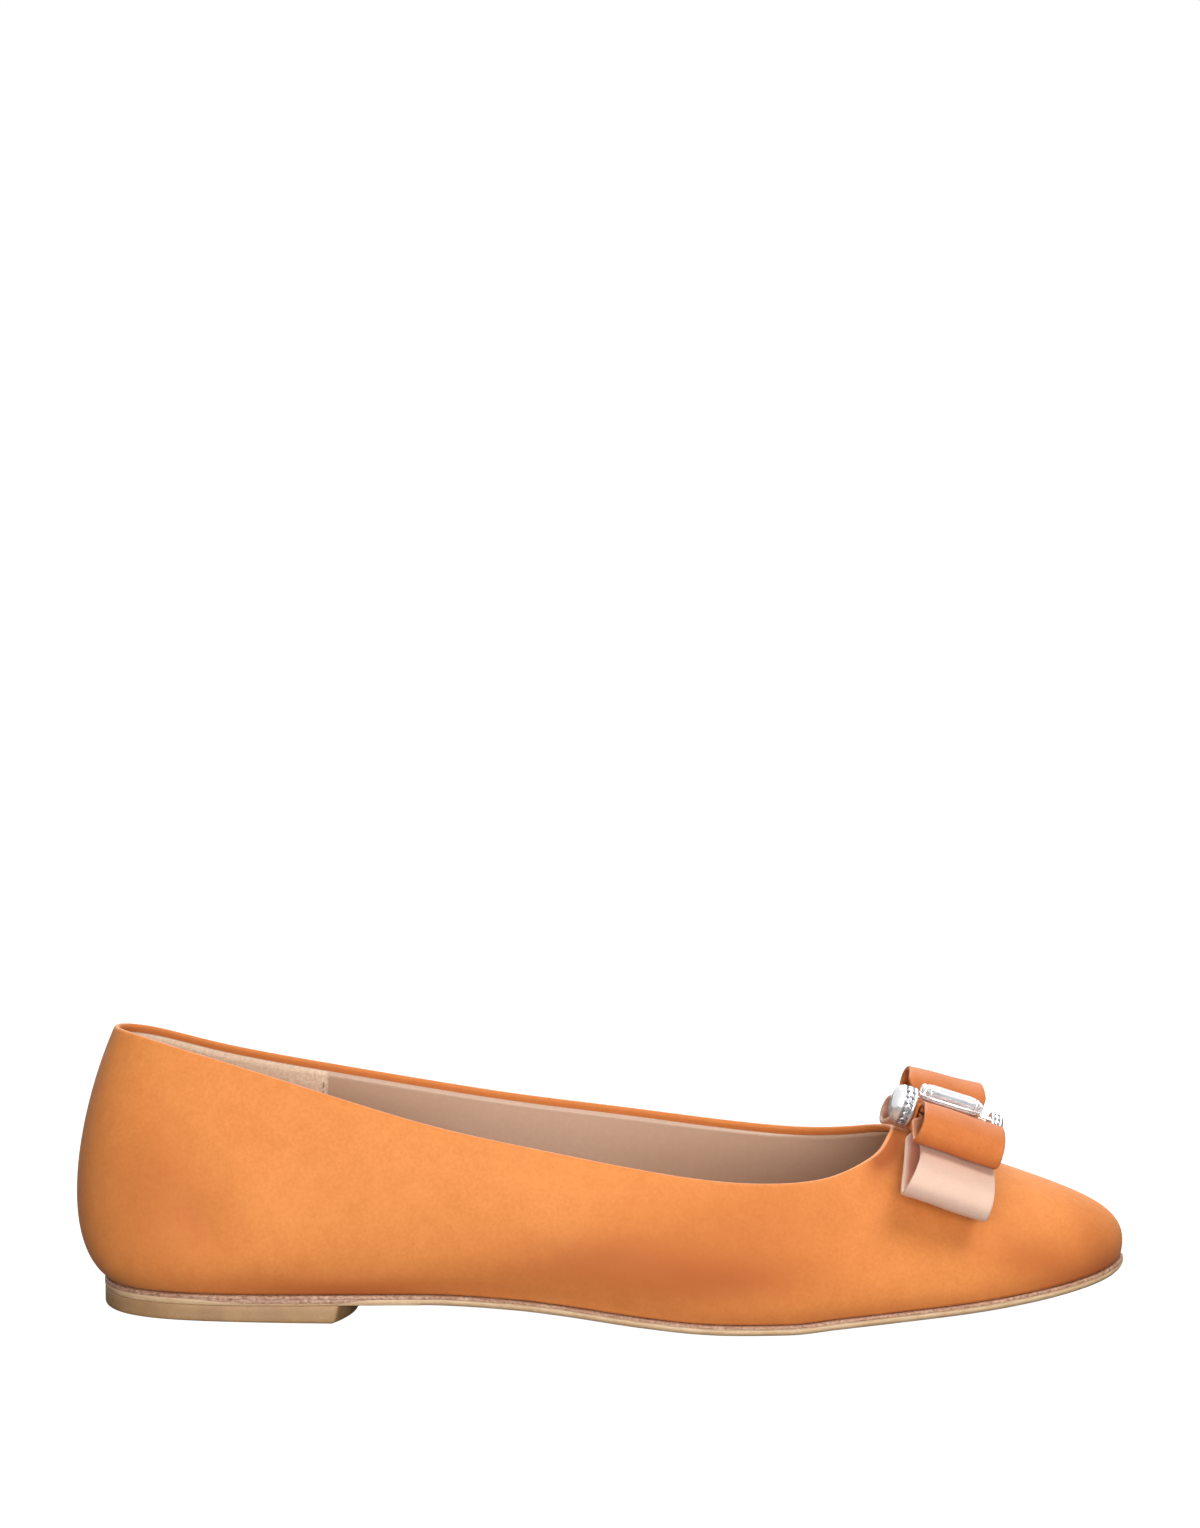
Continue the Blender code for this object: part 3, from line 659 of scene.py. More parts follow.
def along_ribs(at, below_topline, above_feather, steps):
    """The skin between two distances from its edges, evenly spaced along each rib."""
    fine = upper_skin(at, 160)
    lengths = np.linalg.norm(np.diff(fine, axis=1), axis=2)
    reached = np.concatenate([np.zeros((len(at), 1)), np.cumsum(lengths, axis=1)], axis=1)
    skin = np.empty((len(at), steps, 3))
    for rib in range(len(at)):
        wanted = np.linspace(above_feather, reached[rib, -1] - below_topline, steps)
        for axis in range(3):
            skin[rib, :, axis] = np.interp(wanted, reached[rib], fine[rib, :, axis])
    return skin


# Soft forms: x and z of the middle in mm from the heel end and the floor, side is -1
# for the outer side of the foot and 1 for the inner, turn in degrees, the rest in mm
SOFT_FORMS = columns("""
x z side turn half_length half_width depth
 22.0 24.0 -1 -62 11.0 6.5 -0.95
 33.0 31.0 -1 -60 15.0 6.5  0.45
  9.0 17.0 -1  70 10.0 6.0  0.25
 34.0 14.0 -1  12 12.0 4.5  0.30
 54.0 13.0 -1   6 11.0 4.0 -0.35
 70.0 26.0 -1   8 24.0 6.0  0.25
104.0 13.5 -1  -2 48.0 5.5  0.45
128.0 26.0 -1  22 18.0 4.0  0.20
184.0 39.4 -1  46  5.5 1.9 -0.75
180.5 36.0 -1  38  8.0 2.0  0.25
172.0 22.0 -1  35 12.0 3.5 -0.25
205.0 16.0 -1 -20 12.0 4.0  0.20
 26.0 22.0  1 -58 10.0 6.0 -0.70
 62.0 26.0  1   6 22.0 6.0  0.30
 96.0 13.5  1   0 40.0 5.0  0.40
184.0 36.0  1  50  6.0 1.7 -0.55
150.0 18.0  1  20 16.0 4.0 -0.25
""")


# Painted shade: where the satin reads deeper in the photo, by how the light fell on it, its colour
# is painted deeper; placed in the same way, and depth is a share
PAINTED_SHADE_PATCHES = columns("""
x z side turn half_length half_width depth
 11.5 29.0 -1 -75 18.0 12.0 0.52
 21.5 22.0 -1 -60  9.0  5.0 0.20
133.0 14.0 -1   2 29.0  7.5 0.76
112.0 19.0 -1   8 17.0  6.0 0.38
152.0 12.5 -1   4 20.0  5.0 0.30
150.0 26.5 -1   4 30.0  9.0 0.38
 54.0  7.5 -1   0 30.0  4.2 0.90
 88.0 13.0 -1   3 24.0  6.5 0.28
221.0 15.5 -1 -14 19.0  6.0 0.68
235.0 18.5 -1 -60  9.0  5.0 0.45
184.0 39.8 -1  42  5.5  3.2 1.50
 13.0 29.0  1 -75 17.0 11.0 0.35
130.0 14.0  1   2 34.0  7.5 0.50
 60.0  7.0  1   0 30.0  3.5 0.50
181.5 40.5  1  50  6.5  3.4 0.60
""")


def placed_by_hand(table, points, normals):
    """Sum of a table's soft forms at each point of the skin, in the table's own unit."""
    x = points[..., 0] * 1000
    z = points[..., 2] * 1000
    total = np.zeros(x.shape)
    for row in range(len(table["x"])):
        form = {name: values[row] for name, values in table.items()}
        turn = math.radians(form["turn"])
        u = (x - form["x"]) * math.cos(turn) + (z - form["z"]) * math.sin(turn)
        v = (z - form["z"]) * math.cos(turn) - (x - form["x"]) * math.sin(turn)
        shape = np.exp(-((u / form["half_length"]) ** 2) - (v / form["half_width"]) ** 2)
        facing = smooth_step(normals[..., 1] * form["side"], 0.0, 0.45)
        total += form["depth"] * shape * facing
    return total


UPPER_AROUND = 640
UPPER_UP = 72
LINING_INSET = 0.0004
BACK_UP = 24
upper_places = stations(UPPER_AROUND)
outer = along_ribs(upper_places, 0.0, 0.0, UPPER_UP)
normals = skin_normals(outer)
normals[:, 0, 2] = 0
normals = unit(normals)
share_up = np.linspace(0, 1, UPPER_UP)
hold = smooth_step(share_up, 0.0, 0.12) * (1 - smooth_step(share_up, 0.93, 1.0))
rib_length = np.linalg.norm(np.diff(outer, axis=1), axis=2).sum(axis=1)
from_top = (1 - share_up)[None, :] * rib_length[:, None]
tape_line = -0.00002 * np.exp(-(((from_top - 0.0030) / 0.0008) ** 2))
pull = ragged(UPPER_AROUND, 3, 0.00003)[:, None] * np.exp(-share_up[None, :] / 0.03)
soft = placed_by_hand(SOFT_FORMS, outer, normals) / 1000
satin_skin = outer + normals * (soft * hold + tape_line + pull * hold)[:, :, None]
rim_up = unit(outer[:, -1] - outer[:, -2])
rim_wall = UPPER_WALL - LINING_INSET
rim_middle = outer[:, -1] - normals[:, -1] * rim_wall / 2
rim_rows = [
    rim_middle + (normals[:, -1] * math.cos(a) * rim_wall + rim_up * math.sin(a) * UPPER_WALL) / 2
    for a in np.linspace(0, math.pi, 15)[1:-1]
]
back_skin = along_ribs(upper_places, 0.0, 0.0, BACK_UP)
back_normals = skin_normals(back_skin)
back_normals[:, 0, 2] = 0
back_skin = back_skin - unit(back_normals) * rim_wall
upper_rings = [satin_skin[:, k] for k in range(UPPER_UP)] + rim_rows
upper_rings += [back_skin[:, k] for k in reversed(range(BACK_UP))]
points, faces = tube(np.array(upper_rings))
above_sole = share_up[None, :] * rib_length[:, None]
# Painted shade: a band just above the feather line is painted deeper, from the waist to the toe
painted_shade_above_feather = 0.42 * np.exp(-((above_sole / 0.0026) ** 2)) * smooth_step(outer[..., 0], 0.118, 0.150)
# Share of painted shade at each point of the satin's outer skin
painted_shade_share = np.clip(placed_by_hand(PAINTED_SHADE_PATCHES, outer, normals) + painted_shade_above_feather, 0, 1)
# Painted shade: the rolled rim is painted deeper towards the inside, and the satin inside the wall is
# painted deeper all over
painted_shade_inside = np.append(np.linspace(0.05, 0.60, len(rim_rows)), np.full(BACK_UP, 0.60))
painted_shade_share = np.concatenate([painted_shade_share.T.ravel(), np.repeat(painted_shade_inside, UPPER_AROUND)])
# Fine satin: a slow change of tone over broad patches, grain between threads, and a soft nap
satin_face, g, given, out = new_group(
    "satin_face",
    [
        ("Colour", (0.7, 0.22, 0.06, 1.0)),
        ("Shade", (0.5, 0.14, 0.04, 1.0)),
        ("Patch Scale", 28.0),
        ("Thread Scale", 1.0),
    ],
    [("Colour", "NodeSocketColor"), ("Height", "NodeSocketFloat"), ("Rough", "NodeSocketFloat")],
)
patches = g.noise(given["Patch Scale"], 3.0)
fine, finer, mottle = (
    g.noise(g.maths("MULTIPLY", given["Thread Scale"], scale), detail)
    for scale, detail in ((1100.0, 3.0), (3200.0, 2.0), (260.0, 2.0))
)
mixed = g.ranged(patches, 0.38, 0.68, 0.0, 0.30)
for pattern, low, high, most in (
    (fine, 0.35, 0.65, 0.35),
    (mottle, 0.36, 0.66, 0.25),
    (finer, 0.35, 0.65, 0.10),
):
    mixed = g.maths("ADD", mixed, g.ranged(pattern, low, high, 0.0, most))
g.feed(out["Colour"], g.between(mixed, given["Colour"], given["Shade"]))
g.feed(out["Height"], g.maths("ADD", fine, g.maths("MULTIPLY", finer, 0.7)))
g.feed(out["Rough"], g.ranged(patches, 0.3, 0.7, 0.46, 0.58))


def satin_material(name, face, shade, patch, thread, sheen, strength, painted_shade_tone):
    """Satin in a face tone and its darker tone mixed at random, with a painted shade tone where its mesh's
    deeper mark says so.
    """
    material, m = new_material(name, 0.45)
    tones = {"Colour": colour(*face), "Shade": colour(*shade), "Patch_Scale": patch, "Thread_Scale": thread}
    weave = m.node("ShaderNodeGroup", {"node_tree": satin_face}, **tones)
    m.dress(
        Base_Color=m.between(m.attribute("deeper"), weave.outputs["Colour"], colour(*painted_shade_tone)),
        Roughness=weave.outputs["Rough"],
        Sheen_Weight=sheen,
        Sheen_Roughness=0.4,
        Sheen_Tint=(1.0, 0.72, 0.5, 1.0),
        Specular_IOR_Level=0.18,
        Specular_Tint=(1.0, 0.60, 0.36, 1.0),
    )
    m.relief((weave.outputs["Height"], strength, 0.00008))
    return material


# Its last tone, (164, 88, 45), is the painted shade tone
upper_satin = satin_material("satin", (218, 138, 75), (201, 121, 63), 26.0, 1.0, 0.06, 0.35, (164, 88, 45))
make_piece("upper_satin", (points, faces), [upper_satin], "satin", "upper", attributes=[("deeper", painted_shade_share)])

# Lining: thin smooth leather glued inside the satin, its raw edge a line under the rolled rim.
# A suede grip covers it round the heel, joined by a stitched seam down each side.
LINING_TOP = 0.0007
GRIP_END = 0.0493
GRIP_THICKNESS = 0.0004
LINING_AROUND = 480
LINING_UP = 30
LINING_FOOT = 0.0016
GRIP_STEPS = 200
GRIP_BACK = UPPER_WALL + 0.0001 + GRIP_THICKNESS


def lining_sheet(at, top_gap, bottom_gap, back, front, steps, soften):
    """Closed sheet that lies between two depths inside the upper's skin, with round edges."""
    skin = along_ribs(at, top_gap, bottom_gap, steps)
    facing = skin_normals(along_ribs(upper_places, top_gap, bottom_gap, steps))
    facing = unit(
        np.stack(
            [
                [np.interp(at, upper_places, facing[:, k, axis], period=knots[-1]) for axis in range(3)]
                for k in range(steps)
            ]
        ).transpose(2, 0, 1)
    )
    ends = np.minimum(np.arange(steps), np.arange(steps)[::-1])
    face_depth = front - soften * (1 - smooth_step(ends, 0, 3))
    inside = skin - facing * face_depth[None, :, None]
    outside = skin - facing * back
    return inside, outside


lining_places = stations(LINING_AROUND)
lining_front, lining_back = lining_sheet(
    lining_places, LINING_TOP, LINING_FOOT, UPPER_WALL - 0.0003, UPPER_WALL + 0.0001, LINING_UP, 0.0001
)
lining_rings = [lining_back[:, k] for k in range(LINING_UP)]
lining_rings += [lining_front[:, k] for k in reversed(range(LINING_UP))]
points, faces = tube(np.array(lining_rings))
lining_leather = grained("lining_leather", 0.42, (180, 148, 126), 0.3, 2400.0, 0.2)
make_piece("lining", (points, faces), [lining_leather], "sock_leather", "upper")

grip_ends = places_at(GRIP_END, 0.0)
grip_at = np.linspace(grip_ends[1] - knots[-1], grip_ends[0], GRIP_STEPS) % knots[-1]
grip_front, grip_back = lining_sheet(
    grip_at, LINING_TOP + 0.0001, LINING_FOOT, UPPER_WALL, GRIP_BACK, LINING_UP, 0.0003
)
edge_share = smooth_step(np.minimum(np.arange(GRIP_STEPS), np.arange(GRIP_STEPS)[::-1]), 0, 2)
grip_front = grip_back + (grip_front - grip_back) * (0.25 + 0.75 * edge_share)[:, None, None]
grip_rings = [np.concatenate([grip_back[k], grip_front[k, ::-1]]) for k in range(GRIP_STEPS)]
points, faces = tube(np.array(grip_rings), closed=False)
size = 2 * LINING_UP
for base, flip in ((0, False), ((GRIP_STEPS - 1) * size, True)):
    for k in range(LINING_UP - 1):
        face = (base + k, base + k + 1, base + size - 2 - k, base + size - 1 - k)
        faces.append(face[::-1] if flip else face)
suede, m = new_material("grip_suede", 0.9)
nap = m.noise(1400.0, 5.0, Roughness=0.7)
base = m.between(m.ranged(nap, 0.35, 0.65), colour(226, 200, 176), colour(196, 164, 138))
brushed = m.ranged(m.noise(160.0, 4.0), 0.35, 0.65, 0.0, 0.5)
m.dress(Base_Color=m.between(brushed, base, colour(206, 176, 150)), Sheen_Weight=0.3)
m.relief((nap, 0.6, 0.0002))
make_piece("heel_grip", (points, [face[::-1] for face in faces]), [suede], "sock_leather", "upper")

# Seam of the grip: one row of lock stitches down each side, just behind its edge
STITCH_LENGTH = 0.0016
STITCH_GAP = 0.0006
THREAD_RADIUS = 0.00022
SEAM_INSET = 0.0011


def stitch(start, end, face, sides=6, steps=5):
    """One short thread that rises from the leather and dips back in."""
    along = unit(end - start)
    across = unit(np.cross(along, face))
    rings = []
    for t in np.linspace(0, 1, steps):
        rise = (math.sin(math.pi * t) * 0.8 - 0.3) * THREAD_RADIUS
        middle = start + (end - start) * t + face * rise
        radius = THREAD_RADIUS * (0.35 + 0.65 * math.sin(math.pi * t) ** 0.5)
        rings.append(
            [
                middle + (across * math.cos(turn) + face * math.sin(turn)) * radius
                for turn in np.linspace(0, 2 * math.pi, sides, endpoint=False)
            ]
        )
    return capped(rings, turned=True)


def read_along(reached, rows, at):
    """The row of a run at a distance along it."""
    return np.array([np.interp(at, reached, rows[:, axis]) for axis in range(3)])


def joined(parts):
    """One list of points and faces from many."""
    all_points = []
    all_faces = []
    count = 0
    for points, faces in parts:
        all_points.append(np.asarray(points))
        all_faces += [tuple(index + count for index in face) for face in faces]
        count += len(points)
    return np.concatenate(all_points), all_faces


stitches = []
for end_knot, inwards in ((grip_ends[0], -1), (grip_ends[1], 1)):
    near = 0.0001 * knots[-1]
    spot = np.array([end_knot, end_knot + inwards * near])
    pair = along_ribs(spot, LINING_TOP, LINING_FOOT, 400)
    step = np.linalg.norm(pair[1, 200] - pair[0, 200])
    seam_at = end_knot + inwards * near * SEAM_INSET / step
    line_front, line_back = lining_sheet(
        np.array([seam_at % knots[-1], (seam_at + near) % knots[-1]]),
        LINING_TOP + 0.0008, 0.004, UPPER_WALL, GRIP_BACK, 300, 0.0,
    )
    line = line_front[0]
    face = unit(line_front[0] - line_back[0])
    reached = np.concatenate([[0], np.cumsum(np.linalg.norm(np.diff(line, axis=0), axis=1))])
    start = 0.0
    while start + STITCH_LENGTH < reached[-1]:
        ends = (read_along(reached, line, at) for at in (start, start + STITCH_LENGTH))
        stitches.append(stitch(*ends, unit(read_along(reached, face, start))))
        start += STITCH_LENGTH + STITCH_GAP
thread, m, (twist,) = mottled(
    "seam_thread", 0.6, (176, 146, 120), ((150, 122, 98), 3000.0, 2.0, 0.3, 0.7, 1.0)
)
m.relief((twist, 0.4, 0.0001))
make_piece("grip_stitches", joined(stitches), [thread], "sock_leather")

# Lower bow: a long band of pale pink ribbon, folded to a flat loop each side and gathered in
# the middle. The band is a folded double ply with soft round edges.
RIBBON_THICKNESS = 0.0010
RIBBON_GAP = 0.00045
KNOT_WALL = 0.0008
KNOT_HALF_WIDTH = 0.0034
BOW_ALONG = 0.811
BOW_TURN = math.radians(1.0)
BOW_PITCH = math.radians(1.8)
BOW_WIDTH = 0.0211
BOW_GATHER = 0.0160
BOW_GATHER_SHIFT = 0.0014
BOW_LOOP_SHIFT = 0.0011
BOW_SPAN = 0.050
BOW_DEPTH = 0.0130
ply_step = RIBBON_THICKNESS + RIBBON_GAP
lowest_ply = KNOT_WALL + GAP + RIBBON_THICKNESS / 2
knot_low = (BOW_GATHER_SHIFT - BOW_GATHER / 2 - GAP, KNOT_WALL)
knot_high = (BOW_GATHER_SHIFT + BOW_GATHER / 2 + GAP, lowest_ply + 3 * ply_step + RIBBON_THICKNESS / 2 + GAP)


def seat_on_vamp():
    """Where the knot's underside rests on the middle of the vamp, and the bow's slope there."""
    ridge = upper_skin(np.array([toe_knot]), 200)[0]
    ridge = ridge[np.argsort(ridge[:, 0])]
    ends = BOW_ALONG * SOLE_LENGTH + np.array([knot_low[0] - KNOT_WALL, knot_high[0] + KNOT_WALL])
    heights = np.interp(ends, ridge[:, 0], ridge[:, 2])
    slope = math.atan2(heights[0] - heights[1], ends[1] - ends[0])
    between = ridge[(ridge[:, 0] > ends[0]) & (ridge[:, 0] < ends[1])]
    chord = np.interp(between[:, 0], ends, heights)
    crown = (between[:, 2] - chord).max() * math.cos(slope)
    middle = BOW_ALONG * SOLE_LENGTH
    heel_drop = (ends[1] - ends[0]) / 2 * math.sin(BOW_PITCH)
    lifted = (crown + GAP + heel_drop) / math.cos(slope)
    return np.array([middle, 0.0, np.interp(middle, ends, heights) + lifted]), slope - BOW_PITCH


bow_origin, bow_slope = seat_on_vamp()


def on_vamp(points):
    """From the bow's own frame, with x down the vamp to the toe and z out, to the shoe's."""
    x, y, z = np.moveaxis(np.asarray(points, float), -1, 0)
    turned_x = x * math.cos(BOW_TURN) - y * math.sin(BOW_TURN)
    turned_y = x * math.sin(BOW_TURN) + y * math.cos(BOW_TURN)
    forward = turned_x * math.cos(bow_slope) + z * math.sin(bow_slope)
    up = z * math.cos(bow_slope) - turned_x * math.sin(bow_slope)
    return np.stack([forward, turned_y, up], axis=-1) + bow_origin


# across is a share of BOW_SPAN, ply counts the layers in the gathered middle from the vamp up,
# and up is how far the run has left that layer, as a share of BOW_DEPTH. heel_in and toe_in are
# how far the band's two edges are drawn in, as shares of BOW_WIDTH, and twist is how much higher
# its toe-side edge stands than the other, as a share of BOW_DEPTH.
PINK_RUN = columns("""
across ply up heel_in toe_in twist
 0.000 1.0  0.000 0.00 0  0.00
 0.160 1.0  0.000 0.00 0  0.00
 0.340 1.0  0.025 0.00 0  0.00
 0.500 1.0  0.030 0.00 0  0.00
 0.610 1.0 -0.110 0.00 0  0.00
 0.640 0.5 -0.270 0.00 0  0.00
 0.580 0.0 -0.370 0.00 0  0.00
 0.440 0.0 -0.270 0.00 0  0.00
 0.260 0.0 -0.088 0.00 0  0.00
 0.120 0.0 -0.006 0.00 0  0.00
 0.000 0.0  0.000 0.00 0  0.00
-0.120 0.0 -0.008 0.00 0  0.00
-0.260 0.0 -0.208 0.00 0 -0.02
-0.440 0.0 -0.618 0.00 0 -0.04
-0.570 0.0 -0.945 0.00 0 -0.04
-0.645 0.0 -0.925 0.00 0 -0.04
-0.670 0.5 -0.764 0.02 0 -0.04
-0.610 1.0 -0.530 0.07 0 -0.04
-0.460 1.0 -0.310 0.11 0 -0.04
-0.320 1.0 -0.155 0.09 0 -0.02
-0.160 1.0 -0.030 0.02 0  0.00
""")
RIBBON_STEPS = 360
EDGE_STEPS = 9
FLAT_STEPS = 16


def ribbon_section(half, thickness):
    """Outline of the band across its run, and where it is the face inside the loops.

    Its faces are flat and its round edges are parted by the fold between the plies."""
    outline = []
    inner = [0.0] * (FLAT_STEPS + EDGE_STEPS) + [1.0] * FLAT_STEPS + [0.0] * EDGE_STEPS
    radius = thickness / 2
    for side in (1, -1):
        for share in np.linspace(-1, 1, FLAT_STEPS + 2)[1:-1] * side:
            crown = 0.00006 * (1 - share**2)
            outline.append((share * (half - radius), side * (radius - 0.00004 + crown)))
        for k in range(EDGE_STEPS):
            turn = math.pi / 2 - math.pi * k / (EDGE_STEPS - 1)
            fold = 0.00022 * math.exp(-((turn / 0.28) ** 2))
            x = half - radius + (radius - fold) * math.cos(turn)
            z = radius * math.sin(turn) * 1.04
            outline.append((side * x, side * z))
    return np.array(outline), inner


def ribbon(run, waves):
    """Closed band of ribbon that follows its run, narrow where gathered and wide in the loops."""
    heights = lowest_ply + run["ply"] * ply_step + run["up"] * BOW_DEPTH
    edges = [run["heel_in"] * BOW_WIDTH, run["toe_in"] * BOW_WIDTH, run["twist"] * BOW_DEPTH]
    rows = np.stack([run["across"] * BOW_SPAN, heights, *edges], axis=1)
    lengths = np.linalg.norm((np.roll(rows, -1, axis=0) - rows)[:, :2], axis=1)
    run_knots = np.concatenate([[0], np.cumsum(lengths**0.6)])
    at = np.linspace(0, run_knots[-1], RIBBON_STEPS, endpoint=False)
    path = around(run_knots, rows, at)
    ahead = unit((around(run_knots, rows, at + 1e-5) - around(run_knots, rows, at - 1e-5))[:, :2])
    out_way = np.stack([-ahead[:, 1], ahead[:, 0]], axis=1)
    spread = smooth_step(np.abs(path[:, 0]) / BOW_SPAN, 0.12, 0.26)
    half = (BOW_GATHER + (BOW_WIDTH - BOW_GATHER) * spread) / 2
    middle = BOW_GATHER_SHIFT + (BOW_LOOP_SHIFT - BOW_GATHER_SHIFT) * spread
    heel_in, toe_in = np.clip(path[:, 2:4], 0, None).T
    half = half - (heel_in + toe_in) / 2
    middle = middle + (heel_in - toe_in) / 2
    rings = []
    for i in range(RIBBON_STEPS):
        section, inner = ribbon_section(half[i], RIBBON_THICKNESS)
        pleat = waves * (1 - spread[i]) * np.cos(section[:, 0] / half[i] * 3 * math.pi)
        soft = 0.00008 * spread[i] * np.sin(section[:, 0] * 420 + i * 0.05)
        offset = section[:, 1] + pleat + soft
        rings.append(
            np.column_stack(
                [
                    middle[i] + section[:, 0],
                    path[i, 0] + out_way[i, 0] * offset,
                    path[i, 1] + out_way[i, 1] * offset + path[i, 4] * section[:, 0] / half[i] / 2,
                ]
            )
        )
    points, faces = tube(on_vamp(rings))
    # The faces inside the loops are marked for the material's painted shade tone
    return (points, faces), [("deeper", inner * RIBBON_STEPS)]


PINK = (214, 182, 164), (206, 172, 153)
shape, loop_inside_shade = ribbon(PINK_RUN, 0.00008)
# Its last tone, (196, 128, 102), is the painted shade inside the loops
pink_ribbon = satin_material("pink_ribbon", *PINK, 60.0, 1.3, 0.3, 0.4, (196, 128, 102))
make_piece("bow_pink_ribbon", shape, [pink_ribbon], "pink_ribbon", "bow_pink", attributes=loop_inside_shade)

# Upper bow: a shorter band of satin like the upper's, a little deeper in tone, folded to a round
# loop each side and gathered on top of the pink one.
SATIN_RUN = columns("""
across ply up heel_in toe_in twist
 0.000 3.0  0.000 0.000 0.000  0.00
 0.120 3.0  0.040 0.000 0.000  0.00
 0.240 3.0  0.360 0.020 0.040  0.05
 0.380 3.0  0.510 0.045 0.075  0.09
 0.470 3.0  0.430 0.045 0.075  0.09
 0.495 2.5  0.313 0.045 0.075  0.09
 0.450 2.0  0.190 0.045 0.075  0.09
 0.320 2.0  0.080 0.030 0.050  0.05
 0.140 2.0  0.004 0.000 0.000  0.00
 0.000 2.0  0.000 0.000 0.000  0.00
-0.140 2.0 -0.006 0.000 0.000  0.00
-0.300 2.0 -0.130 0.000 0.000 -0.02
-0.440 2.0 -0.290 0.000 0.000 -0.04
-0.510 2.0 -0.190 0.000 0.000 -0.04
-0.510 2.5 -0.010 0.020 0.000 -0.04
-0.420 3.0  0.165 0.030 0.000 -0.04
-0.260 3.0  0.210 0.040 0.000 -0.02
-0.120 3.0  0.036 0.000 0.000  0.00
""")
shape, loop_inside_shade = ribbon(SATIN_RUN, 0.00008)
# Its last tone, (150, 80, 38), is the painted shade inside the loops
bow_satin = satin_material("bow_satin", (196, 114, 60), (180, 99, 50), 60.0, 1.2, 0.08, 0.45, (150, 80, 38))
make_piece("bow_satin_ribbon", shape, [bow_satin], "satin", "bow_satin", attributes=loop_inside_shade)

# Knot: a folded strip of the same satin wrapped round both gathered bands and sewn beneath.
# Its outer face lies in a few soft pleats.
KNOT_STEPS = 22


def knot_loop(grow, corner_steps=10):
    """Rounded frame round the gathered bands in x and z, this far outside them."""
    (x0, z0), (x1, z1) = knot_low, knot_high
    corner = GAP
    loop = []
    radius = corner + grow
    for cx, cz, start in (
        (x1 - corner, z0 + corner, -90),
        (x1 - corner, z1 - corner, 0),
        (x0 + corner, z1 - corner, 90),
        (x0 + corner, z0 + corner, 180),
    ):
        for turn in np.linspace(0, 90, corner_steps):
            angle = math.radians(start + turn)
            loop.append((cx + radius * math.cos(angle), cz + radius * math.sin(angle)))
    return np.array(loop)


def knot_ring(loop, y):
    return np.column_stack([loop[:, 0], np.full(len(loop), y), loop[:, 1]])


knot_rings = []
inner_loop = knot_loop(0.0)
outer_loop = knot_loop(KNOT_WALL)
for y_share in np.linspace(-1, 1, KNOT_STEPS):
    pleat = 0.62 + 0.38 * abs(math.cos(y_share * 1.5 * math.pi + 0.5)) ** 0.8
    pleat *= 1 - 0.5 * smooth_step(abs(y_share), 0.85, 1.0)
    knot_rings.append(knot_ring(inner_loop + (outer_loop - inner_loop) * pleat, y_share * KNOT_HALF_WIDTH))
knot_rings += [knot_ring(inner_loop, side * KNOT_HALF_WIDTH * 0.98) for side in (1, -1)]
points, faces = tube(on_vamp(knot_rings))
make_piece("bow_knot_wrap", (points, [face[::-1] for face in faces]), [bow_satin], "satin", "bow_knot")

# Brooch caps: short polished drums cast in white metal, each with a ring of small cut stones
# held by beads. The heel one is closed by a dome.
CAP_RADIUS = 0.0047
CAP_FOOT = 0.0008
DOME_DEPTH = 0.0018
HEEL_DRUM = 0.0036
TOE_DRUM = 0.0024
cap_centre = CAP_RADIUS + CAP_FOOT
heel_face = knot_low[0] - KNOT_WALL - GAP
toe_face = knot_high[0] + KNOT_WALL + GAP
CAP_SIDES = 96
PAVE_STONES = 16
PAVE_SIZE = 0.00080
BEAD_SIZE = 0.00030
CHANNEL_DEPTH = 0.00075
EDGE_ROUND = 0.0002


def drum(profile):
    """Solid turned about a line along x in the bow's own frame, from (x, radius) rows."""
    turns = np.linspace(0, 2 * math.pi, CAP_SIDES, endpoint=False)
    rings = np.array(
        [
            np.column_stack([np.full(CAP_SIDES, x), r * np.cos(turns), cap_centre + r * np.sin(turns)])
            for x, r in profile
        ]
    )
    points, faces = tube(on_vamp(rings), closed=False)
    points = list(points)
    last = (len(rings) - 1) * CAP_SIDES
    for base, x, flip in ((0, profile[0][0], True), (last, profile[-1][0], False)):
        centre = len(points)
        points.append(on_vamp((x, 0, cap_centre)))
        for i in range(CAP_SIDES):
            face = (centre, base + i, base + (i + 1) % CAP_SIDES)
            faces.append(face[::-1] if flip else face)
    return np.array(points), faces


def cap_channel(x0, x1):
    """Rows of the drum's side with a channel for the stones between two polished edges."""
    edge = ((0.0, EDGE_ROUND), (0.06, 0.0), (0.16, 0.0), (0.22, EDGE_ROUND), (0.26, CHANNEL_DEPTH))
    edge += tuple((1 - share, drop) for share, drop in reversed(edge))
    return [(x0 + share * (x1 - x0), CAP_RADIUS - drop) for share, drop in edge]


dome_rows = [
    (heel_face - HEEL_DRUM - DOME_DEPTH * math.sin(a), (CAP_RADIUS - 0.0002) * math.cos(a) ** 0.8)
    for a in np.radians(np.linspace(86, 4, 22))
]
heel_cap_mesh = drum(dome_rows + cap_channel(heel_face - HEEL_DRUM, heel_face))
toe_end = toe_face + TOE_DRUM
toe_cap_mesh = drum(cap_channel(toe_face, toe_end) + [(toe_end + 0.0006, CAP_RADIUS * 0.8)])


